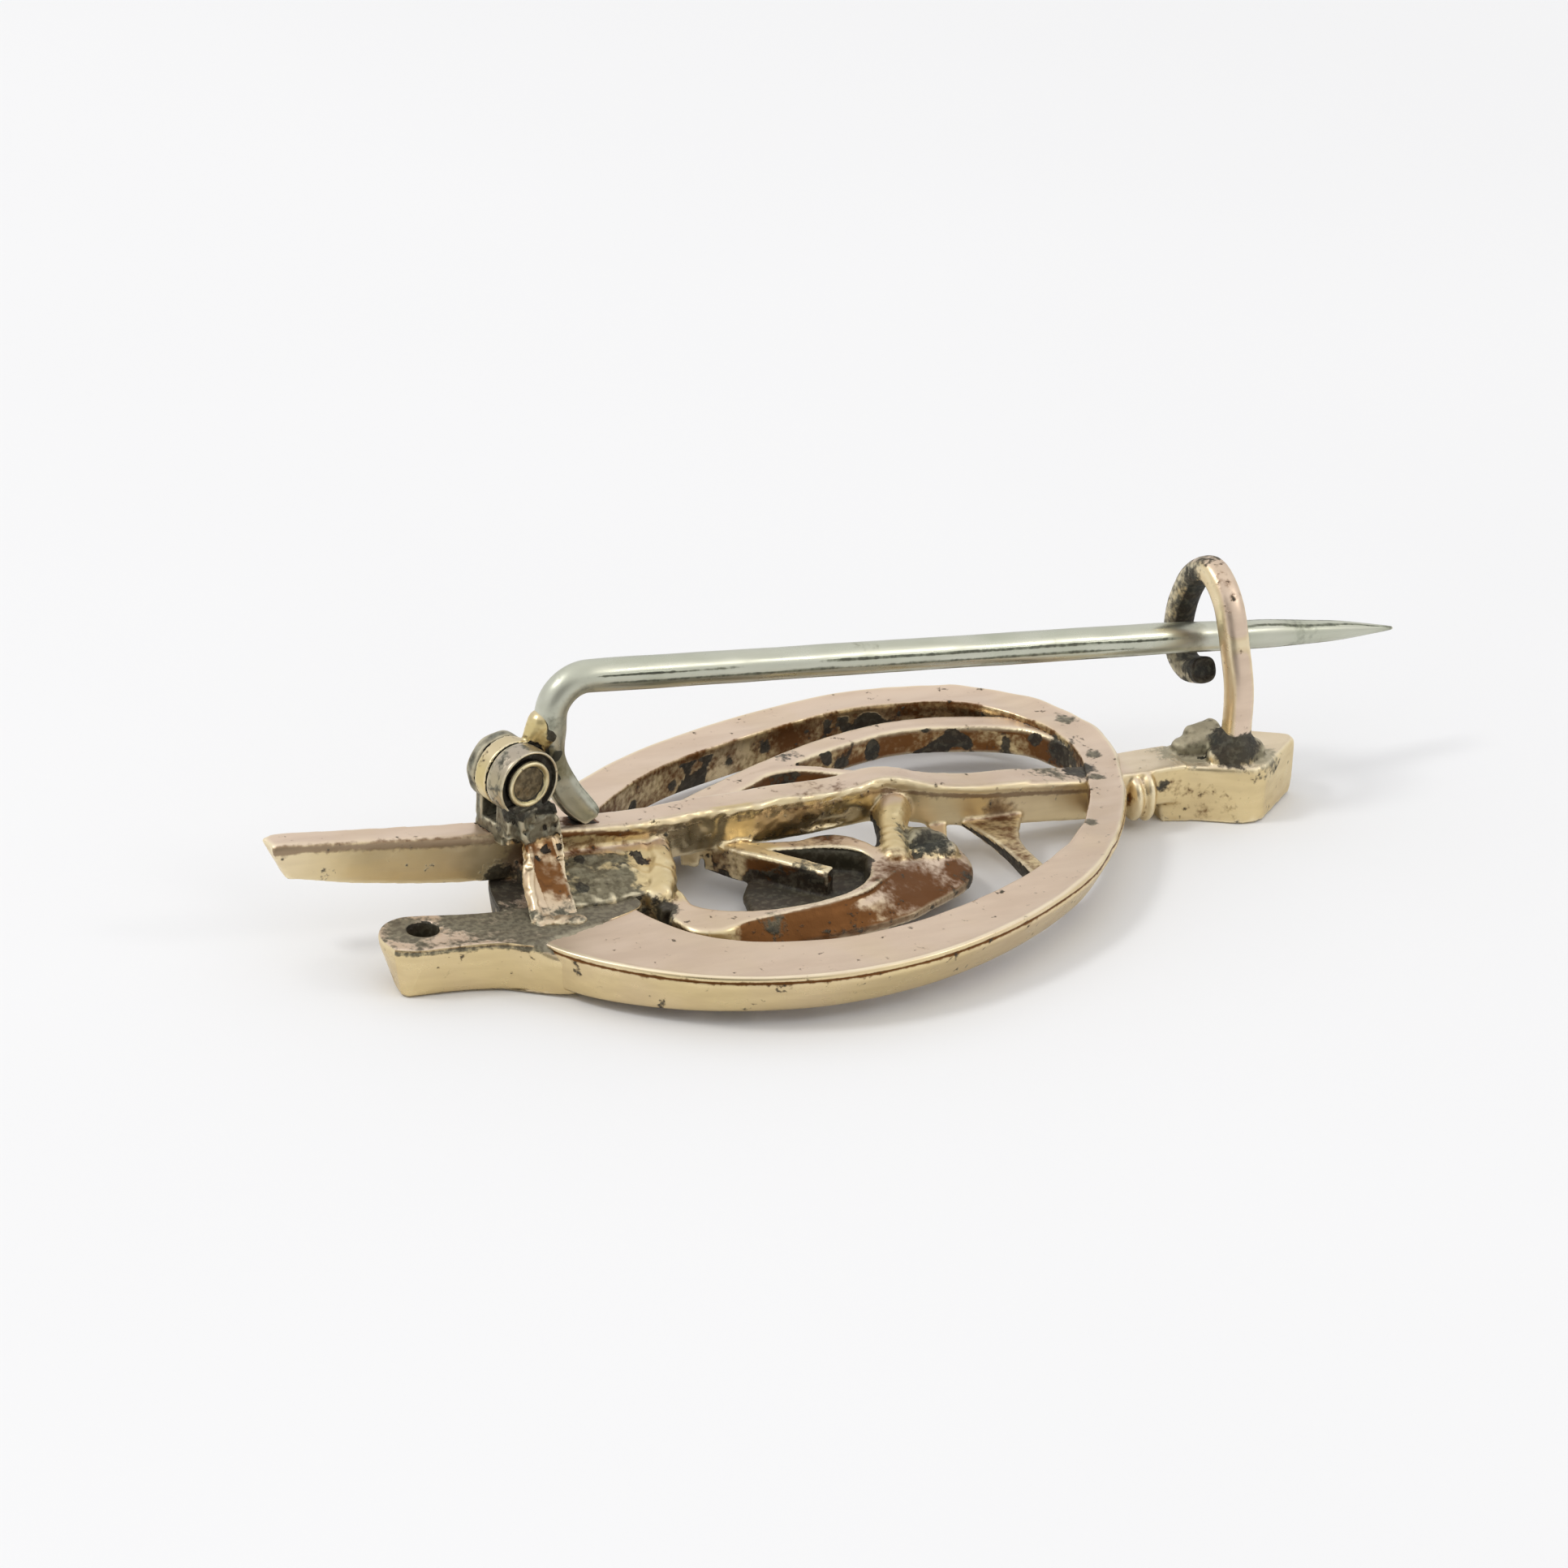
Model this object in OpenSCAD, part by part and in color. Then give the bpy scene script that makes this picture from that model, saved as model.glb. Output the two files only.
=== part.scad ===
// Oval crescent brooch on a bar, lying face down with its pin on top.
// Millimetres. X runs along the bar towards the catch, Y away from the viewer and Z up.
// The front, which faces the floor, carries one graduated row of seed pearls.

/* [Part] */
// Which piece is drawn

/* [Crescent band] */
// Height of the flat back face
band_back = 1.65; // [1.6:0.05:1.85]
// Height of the front edge
band_front = 0.45; // [0.35:0.05:0.55]
// Clear space beside each pearl in its channel
channel_play = 0.03; // [0.02:0.01:0.06]

/* [Pearls] */
// Largest pearl
pearl_largest = 1.7; // [1.3:0.1:1.8]
// Smallest pearl
pearl_smallest = 0.55; // [0.5:0.05:0.7]
// Height left on a split pearl
pearl_height = 1.0; // [0.8:0.05:1.05]
// How far a pearl stands proud of the band's front edge
pearl_proud = 0.1; // [0.05:0.01:0.15]
// Space between neighbours
pearl_gap = 0.13; // [0.12:0.01:0.3]

/* [Bar] */
// Height of the bar's back over X = 0
bar_back = 2.15; // [2.05:0.05:2.3]
// Slope of the bar against the band, in degrees
bar_slope = 4.3; // [3.8:0.1:4.6]
// Left end of the bar
bar_left = -17.9; // [-18.5:0.1:-17.5]

/* [Terminal] */
// Left edge of the lozenge block
block_left = 9.4; // [9.2:0.1:9.8]
// Right point of the lozenge block
block_right = 14.1; // [13.6:0.1:15]
// Depth of the lozenge block
block_depth = 1.75; // [1.5:0.05:1.9]

/* [Hinge] */
// Hinge centre along the bar
hinge_x = -11.11; // [-11.3:0.05:-10.9]
// Hinge centre across the bar
hinge_y = -0.50; // [-0.6:0.05:-0.4]
// Height of the rivet
hinge_z = 4.75; // [4.7:0.05:4.9]
// Turn of the hinge against the bar, seen from above, in degrees
hinge_skew = 14; // [10:1:16]
// Radius of the knuckles
knuckle_radius = 0.98; // [0.95:0.01:1]
// Radius of the rivet
rivet_radius = 0.58; // [0.54:0.01:0.6]
// Running play round the rivet
running_play = 0.03; // [0.02:0.01:0.06]

/* [Pin] */
// Radius of the pin wire
pin_radius = 0.47; // [0.42:0.01:0.48]
// Turn of the pin against the bar, seen from above, in degrees
pin_skew = 5.5; // [5:0.1:6]
// Fall of the pin towards its point, in degrees
pin_fall = 7.5; // [7.3:0.1:7.7]
// Reach of the point from the rivet
pin_reach = 29.7; // [28.5:0.1:31]

/* [Catch] */
// Radius of the hook's wire
hook_radius = 0.42; // [0.36:0.01:0.44]
// Place of the hook along the bar
hook_x = 11.75; // [11.6:0.05:11.9]
// Turn of the hook seen from above, in degrees
hook_turn = 5; // [0:1:8]

/* [Hidden] */
$fn = 48;
slit = 0.02;
gold = "#c99a66";
steel = "#9a9f92";
lie_turn = 0.9;
band_centre = [-1.2, -0.7];
band_steps = 108;

// Crescent band, a row per section: angle, outer radius, width, inset of the outer foot
ANGLE = 0;
OUTER = 1;
WIDTH = 2;
INSET = 3;
band_rows = [
    [0, 9.10, 1.20, 0.25],
    [20, 10.45, 1.30, 0.20],
    [40, 10.65, 1.35, 0.20],
    [60, 9.25, 1.28, 0.20],
    [80, 7.90, 1.30, 0.20],
    [100, 7.27, 1.25, 0.20],
    [120, 7.30, 1.25, 0.20],
    [140, 7.80, 1.40, 0.20],
    [160, 9.00, 1.95, 0.20],
    [180, 10.60, 3.20, 0.15],
    [200, 11.20, 3.30, 0.15],
    [220, 10.45, 2.55, 0.25],
    [240, 9.37, 2.25, 0.35],
    [260, 8.35, 2.05, 0.42],
    [280, 7.63, 1.85, 0.42],
    [300, 7.37, 1.64, 0.42],
    [320, 7.57, 1.47, 0.42],
    [340, 8.10, 1.20, 0.35],
];
inner_inset = 0.10;
tab_front = 0.12;
front_fall = 0.055;
channel_rim = 0.10;

// Strips inside the band, a row per section: x, y, width of the back, height of the back
upper_strip = [
    [7.9, 2.0, 0.90, 1.50],
    [7.1, 3.8, 0.85, 1.45],
    [5.2, 4.8, 0.85, 1.40],
    [3.2, 5.15, 0.75, 1.40],
    [1.0, 4.75, 0.80, 1.40],
    [-1.1, 4.0, 0.80, 1.40],
    [-2.7, 3.2, 0.90, 1.40],
    [-4.2, 2.4, 1.00, 1.40],
    [-6.0, 1.2, 1.10, 1.40],
    [-7.4, -0.6, 1.15, 1.45],
    [-7.45, -2.2, 1.10, 1.45],
    [-7.3, -3.5, 0.95, 1.45],
];
middle_strip = [
    [1.1, -1.8, 0.60, 0.90],
    [1.9, -0.8, 0.60, 0.85],
    [2.3, 0.6, 0.60, 1.00],
    [1.5, 2.2, 0.60, 1.30],
    [0.2, 3.05, 0.60, 1.37],
    [-1.1, 3.35, 0.60, 1.43],
    [-2.6, 2.9, 0.60, 1.43],
    [-4.1, 1.8, 0.60, 1.43],
    [-5.33, 0.22, 0.73, 1.43],
];
leaf_strip = [
    [-4.72, 0.26, 0.74, 1.42],
    [-4.15, -0.75, 0.60, 1.47],
    [-3.4, -1.65, 0.50, 1.47],
    [-2.35, -2.8, 0.55, 1.42],
];
rim_strip = [
    [-0.70, -2.9, 0.35, 1.38],
    [-0.80, -1.9, 0.60, 1.41],
    [-1.5, -1.15, 0.95, 1.41],
    [-2.6, -1.0, 0.60, 1.41],
    [-4.0, -0.6, 0.50, 1.41],
];
strut_strip = [
    [3.7, 0.0, 2.50, 0.78],
    [3.45, -1.7, 1.50, 0.95],
    [3.35, -3.2, 1.05, 1.15],
    [3.35, -5.2, 1.00, 1.25],
];

// Cup round the well, a row per section: inner edge x, y, outer edge x, y, lip x, y, height
cup_rows = [
    [-6.95, -2.90, -7.75, -3.90, -7.75, -3.98, 1.45],
    [-6.80, -3.50, -7.50, -4.85, -7.42, -4.98, 1.45],
    [-6.25, -4.00, -6.75, -5.20, -6.60, -5.36, 1.45],
    [-5.40, -4.38, -5.70, -4.94, -5.55, -5.36, 1.45],
    [-4.30, -4.52, -4.40, -4.82, -4.30, -5.30, 1.45],
    [-3.10, -4.42, -3.05, -4.68, -3.00, -5.22, 1.45],
    [-2.10, -4.05, -1.90, -4.38, -1.80, -5.08, 1.45],
    [-1.45, -3.40, -1.10, -3.80, -0.70, -4.80, 1.42],
    [-1.15, -2.60, -0.20, -3.22, 0.10, -4.40, 1.32],
    [-0.85, -1.90, 0.75, -2.85, 0.85, -3.92, 1.25],
    [-0.40, -1.20, 1.60, -2.60, 1.45, -3.20, 1.20],
    [0.60, -0.60, 1.95, -1.60, 1.90, -2.00, 1.15],
];

// Bar, a row per section: x, centre y, rise of the back, width, depth
bar_rows = [
    [bar_left, 0.10, 0.02, 0.80, 1.02],
    [bar_left + 0.7, 0.02, 0.04, 0.88, 1.08],
    [-15.6, -0.08, 0.00, 0.90, 1.25],
    [-12.6, -0.25, -0.04, 0.95, 1.38],
    [-9.5, -0.25, -0.02, 0.95, 1.38],
    [-7.0, -0.20, 0.00, 1.00, 1.34],
    [-5.0, 0.05, 0.08, 1.00, 1.34],
    [-3.0, 0.20, 0.12, 1.00, 1.34],
    [-1.0, 0.32, 0.22, 0.95, 1.32],
    [0.6, 0.45, 0.35, 0.95, 1.35],
    [2.0, 0.25, 0.18, 1.00, 1.35],
    [3.6, 0.15, 0.05, 1.00, 1.35],
    [5.4, 0.15, 0.00, 1.05, 1.35],
    [7.9, 0.15, -0.12, 1.05, 1.30],
];

// Hook, a row per section: way along its plane, height
hook_rows = [
    [-0.40, 1.20],
    [-0.46, 2.40],
    [-0.42, 3.60],
    [-0.05, 4.80],
    [0.50, 6.00],
    [1.40, 6.60],
    [2.25, 6.10],
    [2.80, 5.05],
    [2.95, 4.05],
    [2.72, 3.42],
    [2.15, 3.18],
    [1.45, 3.40],
];
hook_foot_y = 0.35;

// Lozenge block seen from above
block_outline = [
    [block_left, -0.15],
    [10.4, -0.45],
    [11.5, -1.0],
    [12.0, -1.12],
    [12.4, -1.0],
    [block_right, 0.45],
    [block_right, 0.75],
    [12.6, 1.65],
    [12.0, 1.75],
    [block_left, 0.95],
];

// Smooth curve through four neighbouring rows
function between(a, b, c, d, t) =
    0.5 * (2 * b + (c - a) * t + (2 * a - 5 * b + 4 * c - d) * t * t
    + (3 * b - a - 3 * c + d) * t * t * t);
function along(rows, i, t) =
    let (n = len(rows) - 1)
    between(rows[max(i - 1, 0)], rows[i], rows[min(i + 1, n)], rows[min(i + 2, n)], t);
function refined(rows, k) = concat(
    [for (i = [0 : len(rows) - 2]) for (j = [0 : k - 1]) along(rows, i, j / k)],
    [rows[len(rows) - 1]]);

// Band sizes at an angle, wrapped round the full turn
function band_row(i) = band_rows[(i + len(band_rows)) % len(band_rows)];
function band_at(angle) =
    let (pitch = 360 / len(band_rows))
    let (i = floor(angle / pitch))
    let (t = angle / pitch - i)
    between(band_row(i - 1), band_row(i), band_row(i + 1), band_row(i + 2), t);
// The front edge sinks towards the band's left end
function front_at(p) = max(tab_front, band_front - front_fall * max(0, -7 - p[0]));
function foot_outer(s) = s[OUTER] - s[INSET];
function foot_inner(s) = s[OUTER] - s[WIDTH] + inner_inset;
function foot_middle(s) = (foot_outer(s) + foot_inner(s)) / 2;
function pearl_size(s) =
    let (room = foot_outer(s) - foot_inner(s) - 2 * channel_rim)
    max(pearl_smallest, min(pearl_largest, room - 2 * channel_play));
function on_ray(angle, r) = [band_centre[0] + r * cos(angle), band_centre[1] + r * sin(angle)];
function lifted(p, z) = [p[0], p[1], z];

// Ring section of the band
function band_ring(angle) =
    let (s = band_at(angle))
    let (front = front_at(on_ray(angle, foot_middle(s))))
    [
        lifted(on_ray(angle, foot_inner(s)), front),
        lifted(on_ray(angle, foot_outer(s)), front),
        lifted(on_ray(angle, s[OUTER] - 0.4 * s[INSET]), (band_back + front) / 2),
        lifted(on_ray(angle, s[OUTER]), band_back),
        lifted(on_ray(angle, s[OUTER] - s[WIDTH]), band_back),
    ];
// Ring section of the channel for the pearls, open at the front
function channel_ring(angle) =
    let (s = band_at(angle))
    let (half = pearl_size(s) / 2 + channel_play)
    let (mid = foot_middle(s))
    let (roof = front_at(on_ray(angle, mid)) - pearl_proud + pearl_rise(s) + 0.04)
    [
        lifted(on_ray(angle, mid - half), -1),
        lifted(on_ray(angle, mid + half), -1),
        lifted(on_ray(angle, mid + half), roof),
        lifted(on_ray(angle, mid - half), roof),
    ];
function pearl_rise(s) = min(pearl_size(s), pearl_height);
// A pearl is smaller where its channel runs aslant or narrows beside it
function pearl_fit(angle) =
    let (drift = foot_middle(band_at(angle + 1)) - foot_middle(band_at(angle - 1)))
    let (slant = atan(drift * 90 / PI / foot_middle(band_at(angle))))
    min(pearl_size(band_at(angle)) * cos(slant),
        pearl_size(band_at(angle - 4)), pearl_size(band_at(angle + 4)));

// Pearl places: the row's length is counted in pearls and shared out evenly
pace = 3;
function pace_point(k) = on_ray(k * pace, foot_middle(band_at(k * pace)));
function pace_cost(k) =
    norm(pace_point(k + 1) - pace_point(k))
    / (pearl_size(band_at((k + 0.5) * pace)) + pearl_gap);
pace_sums = [for (k = 0, sum = 0; k <= 360 / pace; sum = sum + pace_cost(k), k = k + 1) sum];
pearl_count = floor(pace_sums[len(pace_sums) - 1]);
function pearl_angle(i) =
    let (goal = (i + 0.5) * pace_sums[len(pace_sums) - 1] / pearl_count)
    let (k = [for (k = [0 : len(pace_sums) - 2]) if (pace_sums[k] <= goal && goal < pace_sums[k + 1]) k][0])
    pace * (k + (goal - pace_sums[k]) / (pace_sums[k + 1] - pace_sums[k]));

// Height of the block's front before the brooch is laid down
block_front = bar_height(12) + 0.22 - block_depth;

// Middle of pearl i and the height of its front
function pearl_place(i) = on_ray(pearl_angle(i), foot_middle(band_at(pearl_angle(i))));
function pearl_low(i) = front_at(pearl_place(i)) - pearl_proud;

// Placing on the floor: the lowest of tab, block and pearls touches it
function settled(x, z) = x * sin(lie_turn) + z * cos(lie_turn);
lows = concat(
    [settled(-15.72, tab_front)],
    [settled(1.25 + 0.88 * block_left, block_front)],
    [for (i = [0 : pearl_count - 1]) settled(pearl_place(i)[0], pearl_low(i))]
);
lift = -min(lows);
centre_x = 0.1954;
centre_y = -0.8248;

module laid() {
    translate([-centre_x, -centre_y, lift])
        rotate([0, -lie_turn, 0])
            children();
}

// Solid from a list of rings that all have the same number of points
module skin(rings, closed = false) {
    m = len(rings[0]);
    n = len(rings);
    walls = [
        for (i = [0 : n - (closed ? 1 : 2)])
            for (j = [0 : m - 1])
                let (a = i * m + j)
                let (b = i * m + (j + 1) % m)
                let (c = ((i + 1) % n) * m + (j + 1) % m)
                let (d = ((i + 1) % n) * m + j)
                each [[a, b, c], [a, c, d]]
    ];
    ends = closed ? [] : [
        [for (j = [m - 1 : -1 : 0]) j],
        [for (j = [0 : m - 1]) (n - 1) * m + j],
    ];
    polyhedron(points = [for (r = rings) each r], faces = concat(walls, ends), convexity = 6);
}

// Tapering strip that follows rows of x, y, width and height of the back
module strip(rows, foot) {
    path = refined(rows, 5);
    n = len(path) - 1;
    rings = [
        for (i = [0 : n])
            let (p = path[i])
            let (a = path[max(i - 1, 0)])
            let (b = path[min(i + 1, n)])
            let (way = atan2(b[1] - a[1], b[0] - a[0]))
            let (side = [-sin(way), cos(way)])
            let (w = p[2] / 2)
            let (f = max(w - 0.1, 0.1))
            let (at = [p[0], p[1]])
            [
                lifted(at - w * side, p[3]),
                lifted(at + w * side, p[3]),
                lifted(at + f * side, foot),
                lifted(at - f * side, foot),
            ]
    ];
    skin(rings);
}

module crescent_band() {
    skin([for (k = [0 : band_steps - 1]) band_ring(k * 360 / band_steps)], closed = true);
}

module pearl_channel() {
    skin([for (k = [0 : band_steps - 1]) channel_ring((k + 0.5) * 360 / band_steps)], closed = true);
}

// Short plate that runs on past the band's left end, with rounded corners
module tab() {
    hull() {
        translate([-15.0, -2.8, tab_front])
            cylinder(h = 0.1, r = 0.72, $fn = 32);
        translate([-14.9, -2.85, band_back - 0.12])
            cylinder(h = 0.1, r = 0.92, $fn = 32);
        translate([-15.35, -3.60, band_back - 0.12])
            cylinder(h = 0.1, r = 0.30, $fn = 32);
        translate([-11.2, -3.70, tab_front + 0.08])
            cylinder(h = band_back - tab_front - 0.10, r = 0.78, $fn = 32);
    }
}

module tab_hole() {
    translate([-14.55, -2.8, -1])
        cylinder(h = 5, r = 0.42, $fn = 32);
}

function bar_height(x) = bar_back - x * tan(bar_slope);

module bar() {
    rings = [
        for (p = refined(bar_rows, 4))
            let (top = bar_height(p[0]) + p[2])
            let (w = p[3] / 2)
            // the left end is cut askew: its near side and its front stand back
            let (near = max(p[0], bar_left + 0.30))
            let (under = max(p[0], bar_left + 0.50))
            [
                [near, p[1] - w, top - 0.16],
                [near, p[1] - w + 0.16, top],
                [p[0], p[1] + w, top],
                [under, p[1] + w - 0.05, top - p[4]],
                [under, p[1] - w + 0.05, top - p[4]],
            ]
    ];
    skin(rings);
}

// Neck between the band and the block, with the two ribs on its near side
module neck() {
    translate([7.9, -0.35, 0.35])
        cube([2.2, 1.45, 1.18]);
    for (rib = [[8.42, 0.72], [8.82, 0.80]])
        hull() {
            translate([rib[0], -0.25, 0.72])
                scale([0.30, 0.62, rib[1]])
                    sphere(r = 1, $fn = 20);
            translate([rib[0], 0.60, 0.72])
                scale([0.26, 0.60, rib[1] - 0.06])
                    sphere(r = 1, $fn = 20);
        }
}

module block() {
    translate([0, 0, block_front])
        hull() {
            translate([0, 0, 0.35])
                linear_extrude(height = block_depth - 0.35)
                    polygon(block_outline);
            translate([1.25, 0.04, 0])
                linear_extrude(height = 0.2)
                    scale([0.88, 0.80])
                        polygon(block_outline);
        }
}

// Wire hook with a spread foot and the solder beside it
module catch_hook() {
    path = refined(hook_rows, 4);
    n = len(path) - 1;
    sides = 14;
    rings = [
        for (i = [0 : n])
            let (a = path[max(i - 1, 0)])
            let (b = path[min(i + 1, n)])
            let (way = (b - a) / norm(b - a))
            let (r = hook_radius * (i == n ? 0.86 : 1))
            [
                for (k = [0 : sides - 1])
                    let (u = r * cos(-k * 360 / sides))
                    let (v = r * 1.02 * sin(-k * 360 / sides))
                    [v, path[i][0] - u * way[1], path[i][1] + u * way[0]]
            ]
    ];
    translate([hook_x, hook_foot_y, 0])
        rotate([0, 0, hook_turn])
            skin(rings);
    hull() {
        translate([hook_x, hook_foot_y - 0.42, 1.95])
            sphere(r = 0.52, $fn = 16);
        translate([hook_x + 0.1, hook_foot_y - 0.40, 1.45])
            cylinder(h = 0.1, r = 0.72, $fn = 20);
    }
    hull() {
        translate([hook_x - 0.85, 0.85, 1.85])
            sphere(r = 0.32, $fn = 12);
        translate([hook_x - 0.30, 0.95, 1.80])
            sphere(r = 0.34, $fn = 12);
        translate([hook_x - 0.75, 0.60, 1.40])
            cylinder(h = 0.1, r = 0.75, $fn = 16);
    }
}

// Cup at the near side: its wall slopes outwards from the comma-shaped back to a low lip
module scroll_cup() {
    skin([
        for (p = refined(cup_rows, 3))
            [
                [p[0], p[1], 0.47],
                [p[4], p[5], 0.47],
                [p[4], p[5], 0.78],
                [p[2], p[3], p[6]],
                [p[0], p[1], p[6]],
            ]
    ]);
    // grey solder on the cup's right end
    hull() {
        translate([1.0, -2.2, 1.0])
            sphere(r = 0.46, $fn = 12);
        translate([1.55, -1.9, 1.05])
            sphere(r = 0.44, $fn = 12);
        translate([1.2, -1.2, 1.05])
            sphere(r = 0.40, $fn = 12);
    }
    // golden solder running down from the bar
    for (drop = [[0.35, -0.1, 1.20, -0.10, -1.2, 1.20], [-0.10, -1.2, 1.20, -0.45, -2.5, 1.05]])
        hull() {
            translate([drop[0], drop[1], drop[2]])
                sphere(r = 0.42, $fn = 14);
            translate([drop[3], drop[4], drop[5]])
                sphere(r = 0.44, $fn = 14);
        }
}

// Solder between the bar and the band's wide left end, a row per section:
// x, height on the bar, near edge, height of the near edge
solder_rows = [
    [-11.0, 1.75, -2.9, 1.72],
    [-10.0, 1.80, -3.1, 1.74],
    [-9.0, 1.70, -3.0, 1.72],
    [-8.2, 1.60, -2.9, 1.62],
    [-7.6, 1.45, -2.7, 1.50],
];

module left_solder() {
    skin([
        for (p = refined(solder_rows, 3))
            let (mid = (p[1] + 0.25 + p[3]) / 2)
            [
                [p[0], -0.30, 1.00],
                [p[0], p[2], 1.00],
                [p[0], p[2], p[3]],
                [p[0], (p[2] - 0.6) / 2, mid + 0.05],
                [p[0], -0.60, p[1] + 0.30],
                [p[0], -0.30, p[1] + 0.30],
            ]
    ]);
    // rounded lip at its right
    hull() {
        translate([-7.65, -1.2, 1.75])
            sphere(r = 0.48, $fn = 14);
        translate([-7.75, -2.8, 1.35])
            sphere(r = 0.46, $fn = 14);
    }
    // wall between the bar and the far branch
    hull() {
        translate([-12.1, -0.05, band_back - 0.3])
            cube([3.6, 0.5, 0.8]);
        translate([-11.0, 1.4, band_back - 0.3])
            cube([1.6, 0.2, 0.28]);
    }
}

module frame_metal() {
    crescent_band();
    tab();
    bar();
    neck();
    block();
    catch_hook();
    strip(upper_strip, 0.50);
    strip(middle_strip, 0.53);
    strip(leaf_strip, 0.57);
    strip(rim_strip, 0.63);
    strip(strut_strip, 0.66);
    scroll_cup();
    left_solder();
}

// Hinge frame: its Y runs along the rivet and its origin is the rivet's middle
module at_hinge() {
    translate([hinge_x, hinge_y, hinge_z])
        rotate([0, 0, hinge_skew])
            children();
}

// Pin frame: its X runs under the pin, from the middle of the pin's own knuckle
module at_pin() {
    at_hinge()
        translate([0, knuckle_mid, 0])
            rotate([0, 0, pin_skew - hinge_skew])
                children();
}

module round_across(r, from, to) {
    translate([0, to, 0])
        rotate([90, 0, 0])
            cylinder(h = to - from, r = r);
}

near_from = -0.86;
near_to = -0.12;
own_from = -0.08;
own_to = 0.41;
far_from = 0.45;
far_to = 0.86;
knuckle_mid = (own_from + own_to) / 2;

// Near strap from the knuckle down to the band, a row per section:
// middle x, front y, height, width, turn
strap_rows = [
    [-10.72, -1.42, 3.95, 1.30, 12],
    [-10.60, -1.42, 3.30, 1.30, 12],
    [-10.42, -1.42, 2.95, 1.18, 10],
    [-10.75, -2.45, 2.30, 1.28, 14],
    [-10.85, -3.55, band_back - 0.06, 1.45, 20],
];
module strap_section(row, grow) {
    translate([row[0], row[1], row[2]])
        rotate([0, 0, row[4]])
            translate([-row[3] / 2 - grow, -grow, -grow])
                cube([row[3] + 2 * grow, 0.42 + 2 * grow, 0.08 + 2 * grow]);
}

// Strap, saddle and far leg of the hinge; the seat copy is grown a little
module bracket_legs(grow) {
    saddle = bar_height(hinge_x) - 0.12;
    for (k = [0 : len(strap_rows) - 2])
        hull() {
            strap_section(strap_rows[k], grow);
            strap_section(strap_rows[k + 1], grow);
        }
    translate([hinge_x, hinge_y, saddle])
        rotate([0, 0, hinge_skew]) {
            // saddle on the bar, under the pin's knuckle
            translate([-0.60 - grow, -0.45 - grow, -grow])
                cube([1.20 + 2 * grow, 1.20 + 2 * grow, 0.55 + 2 * grow]);
            // far leg
            translate([-0.66 - grow, far_from + 0.02 - grow, -grow])
                cube([1.28 + 2 * grow, 0.36 + 2 * grow, 1.50]);
            // flank of the near knuckle
            translate([-0.68, near_from + 0.04, 0.36])
                cube([1.20, 0.68, 1.00]);
        }
}

module frame() {
    color(gold)
        laid()
            difference() {
                frame_metal();
                pearl_channel();
                tab_hole();
                bracket_legs(slit);
            }
}

module hinge_bracket() {
    color(steel)
        laid()
            difference() {
                union() {
                    at_hinge() {
                        round_across(knuckle_radius, near_from, near_to);
                        round_across(knuckle_radius, far_from, far_to);
                    }
                    bracket_legs(0);
                }
                at_hinge() {
                    round_across(rivet_radius + running_play, near_from - 1, far_to + 1);
                    round_across(knuckle_radius - 0.10, near_from - 1, near_from + 0.20);
                    // room for the pin's knuckle to turn
                    round_across(knuckle_radius + 0.10, near_to, far_from);
                }
            }
}

module hinge_rivet() {
    color(steel)
        laid()
            at_hinge()
                union() {
                    round_across(rivet_radius, near_from + 0.05, far_to + 0.06);
                    round_across(rivet_radius + 0.10, near_from - 0.04, near_from + 0.17);
                }
}

// Wire bent from the stem into the shaft, in the pin's own plane
module wire_bend(x, z, bend, foot) {
    sides = 20;
    steps = 9;
    r = pin_radius - 0.02;
    last = 90 - pin_fall;
    stations = concat(
        [[x - bend, foot, 180]],
        [for (i = [0 : steps]) let (a = 180 - i * (180 - last) / steps)
            [x + bend * cos(a), z + bend * sin(a), a]],
        [[x + bend * cos(last) + 0.5 * sin(last), z + bend * sin(last) - 0.5 * cos(last), last]]
    );
    skin([
        for (p = stations)
            [for (k = [0 : sides - 1]) let (t = (k + 0.5) * 360 / sides)
                [p[0] + r * cos(t) * cos(p[2]), r * sin(t), p[1] + r * cos(t) * sin(p[2])]]
    ]);
}

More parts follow.
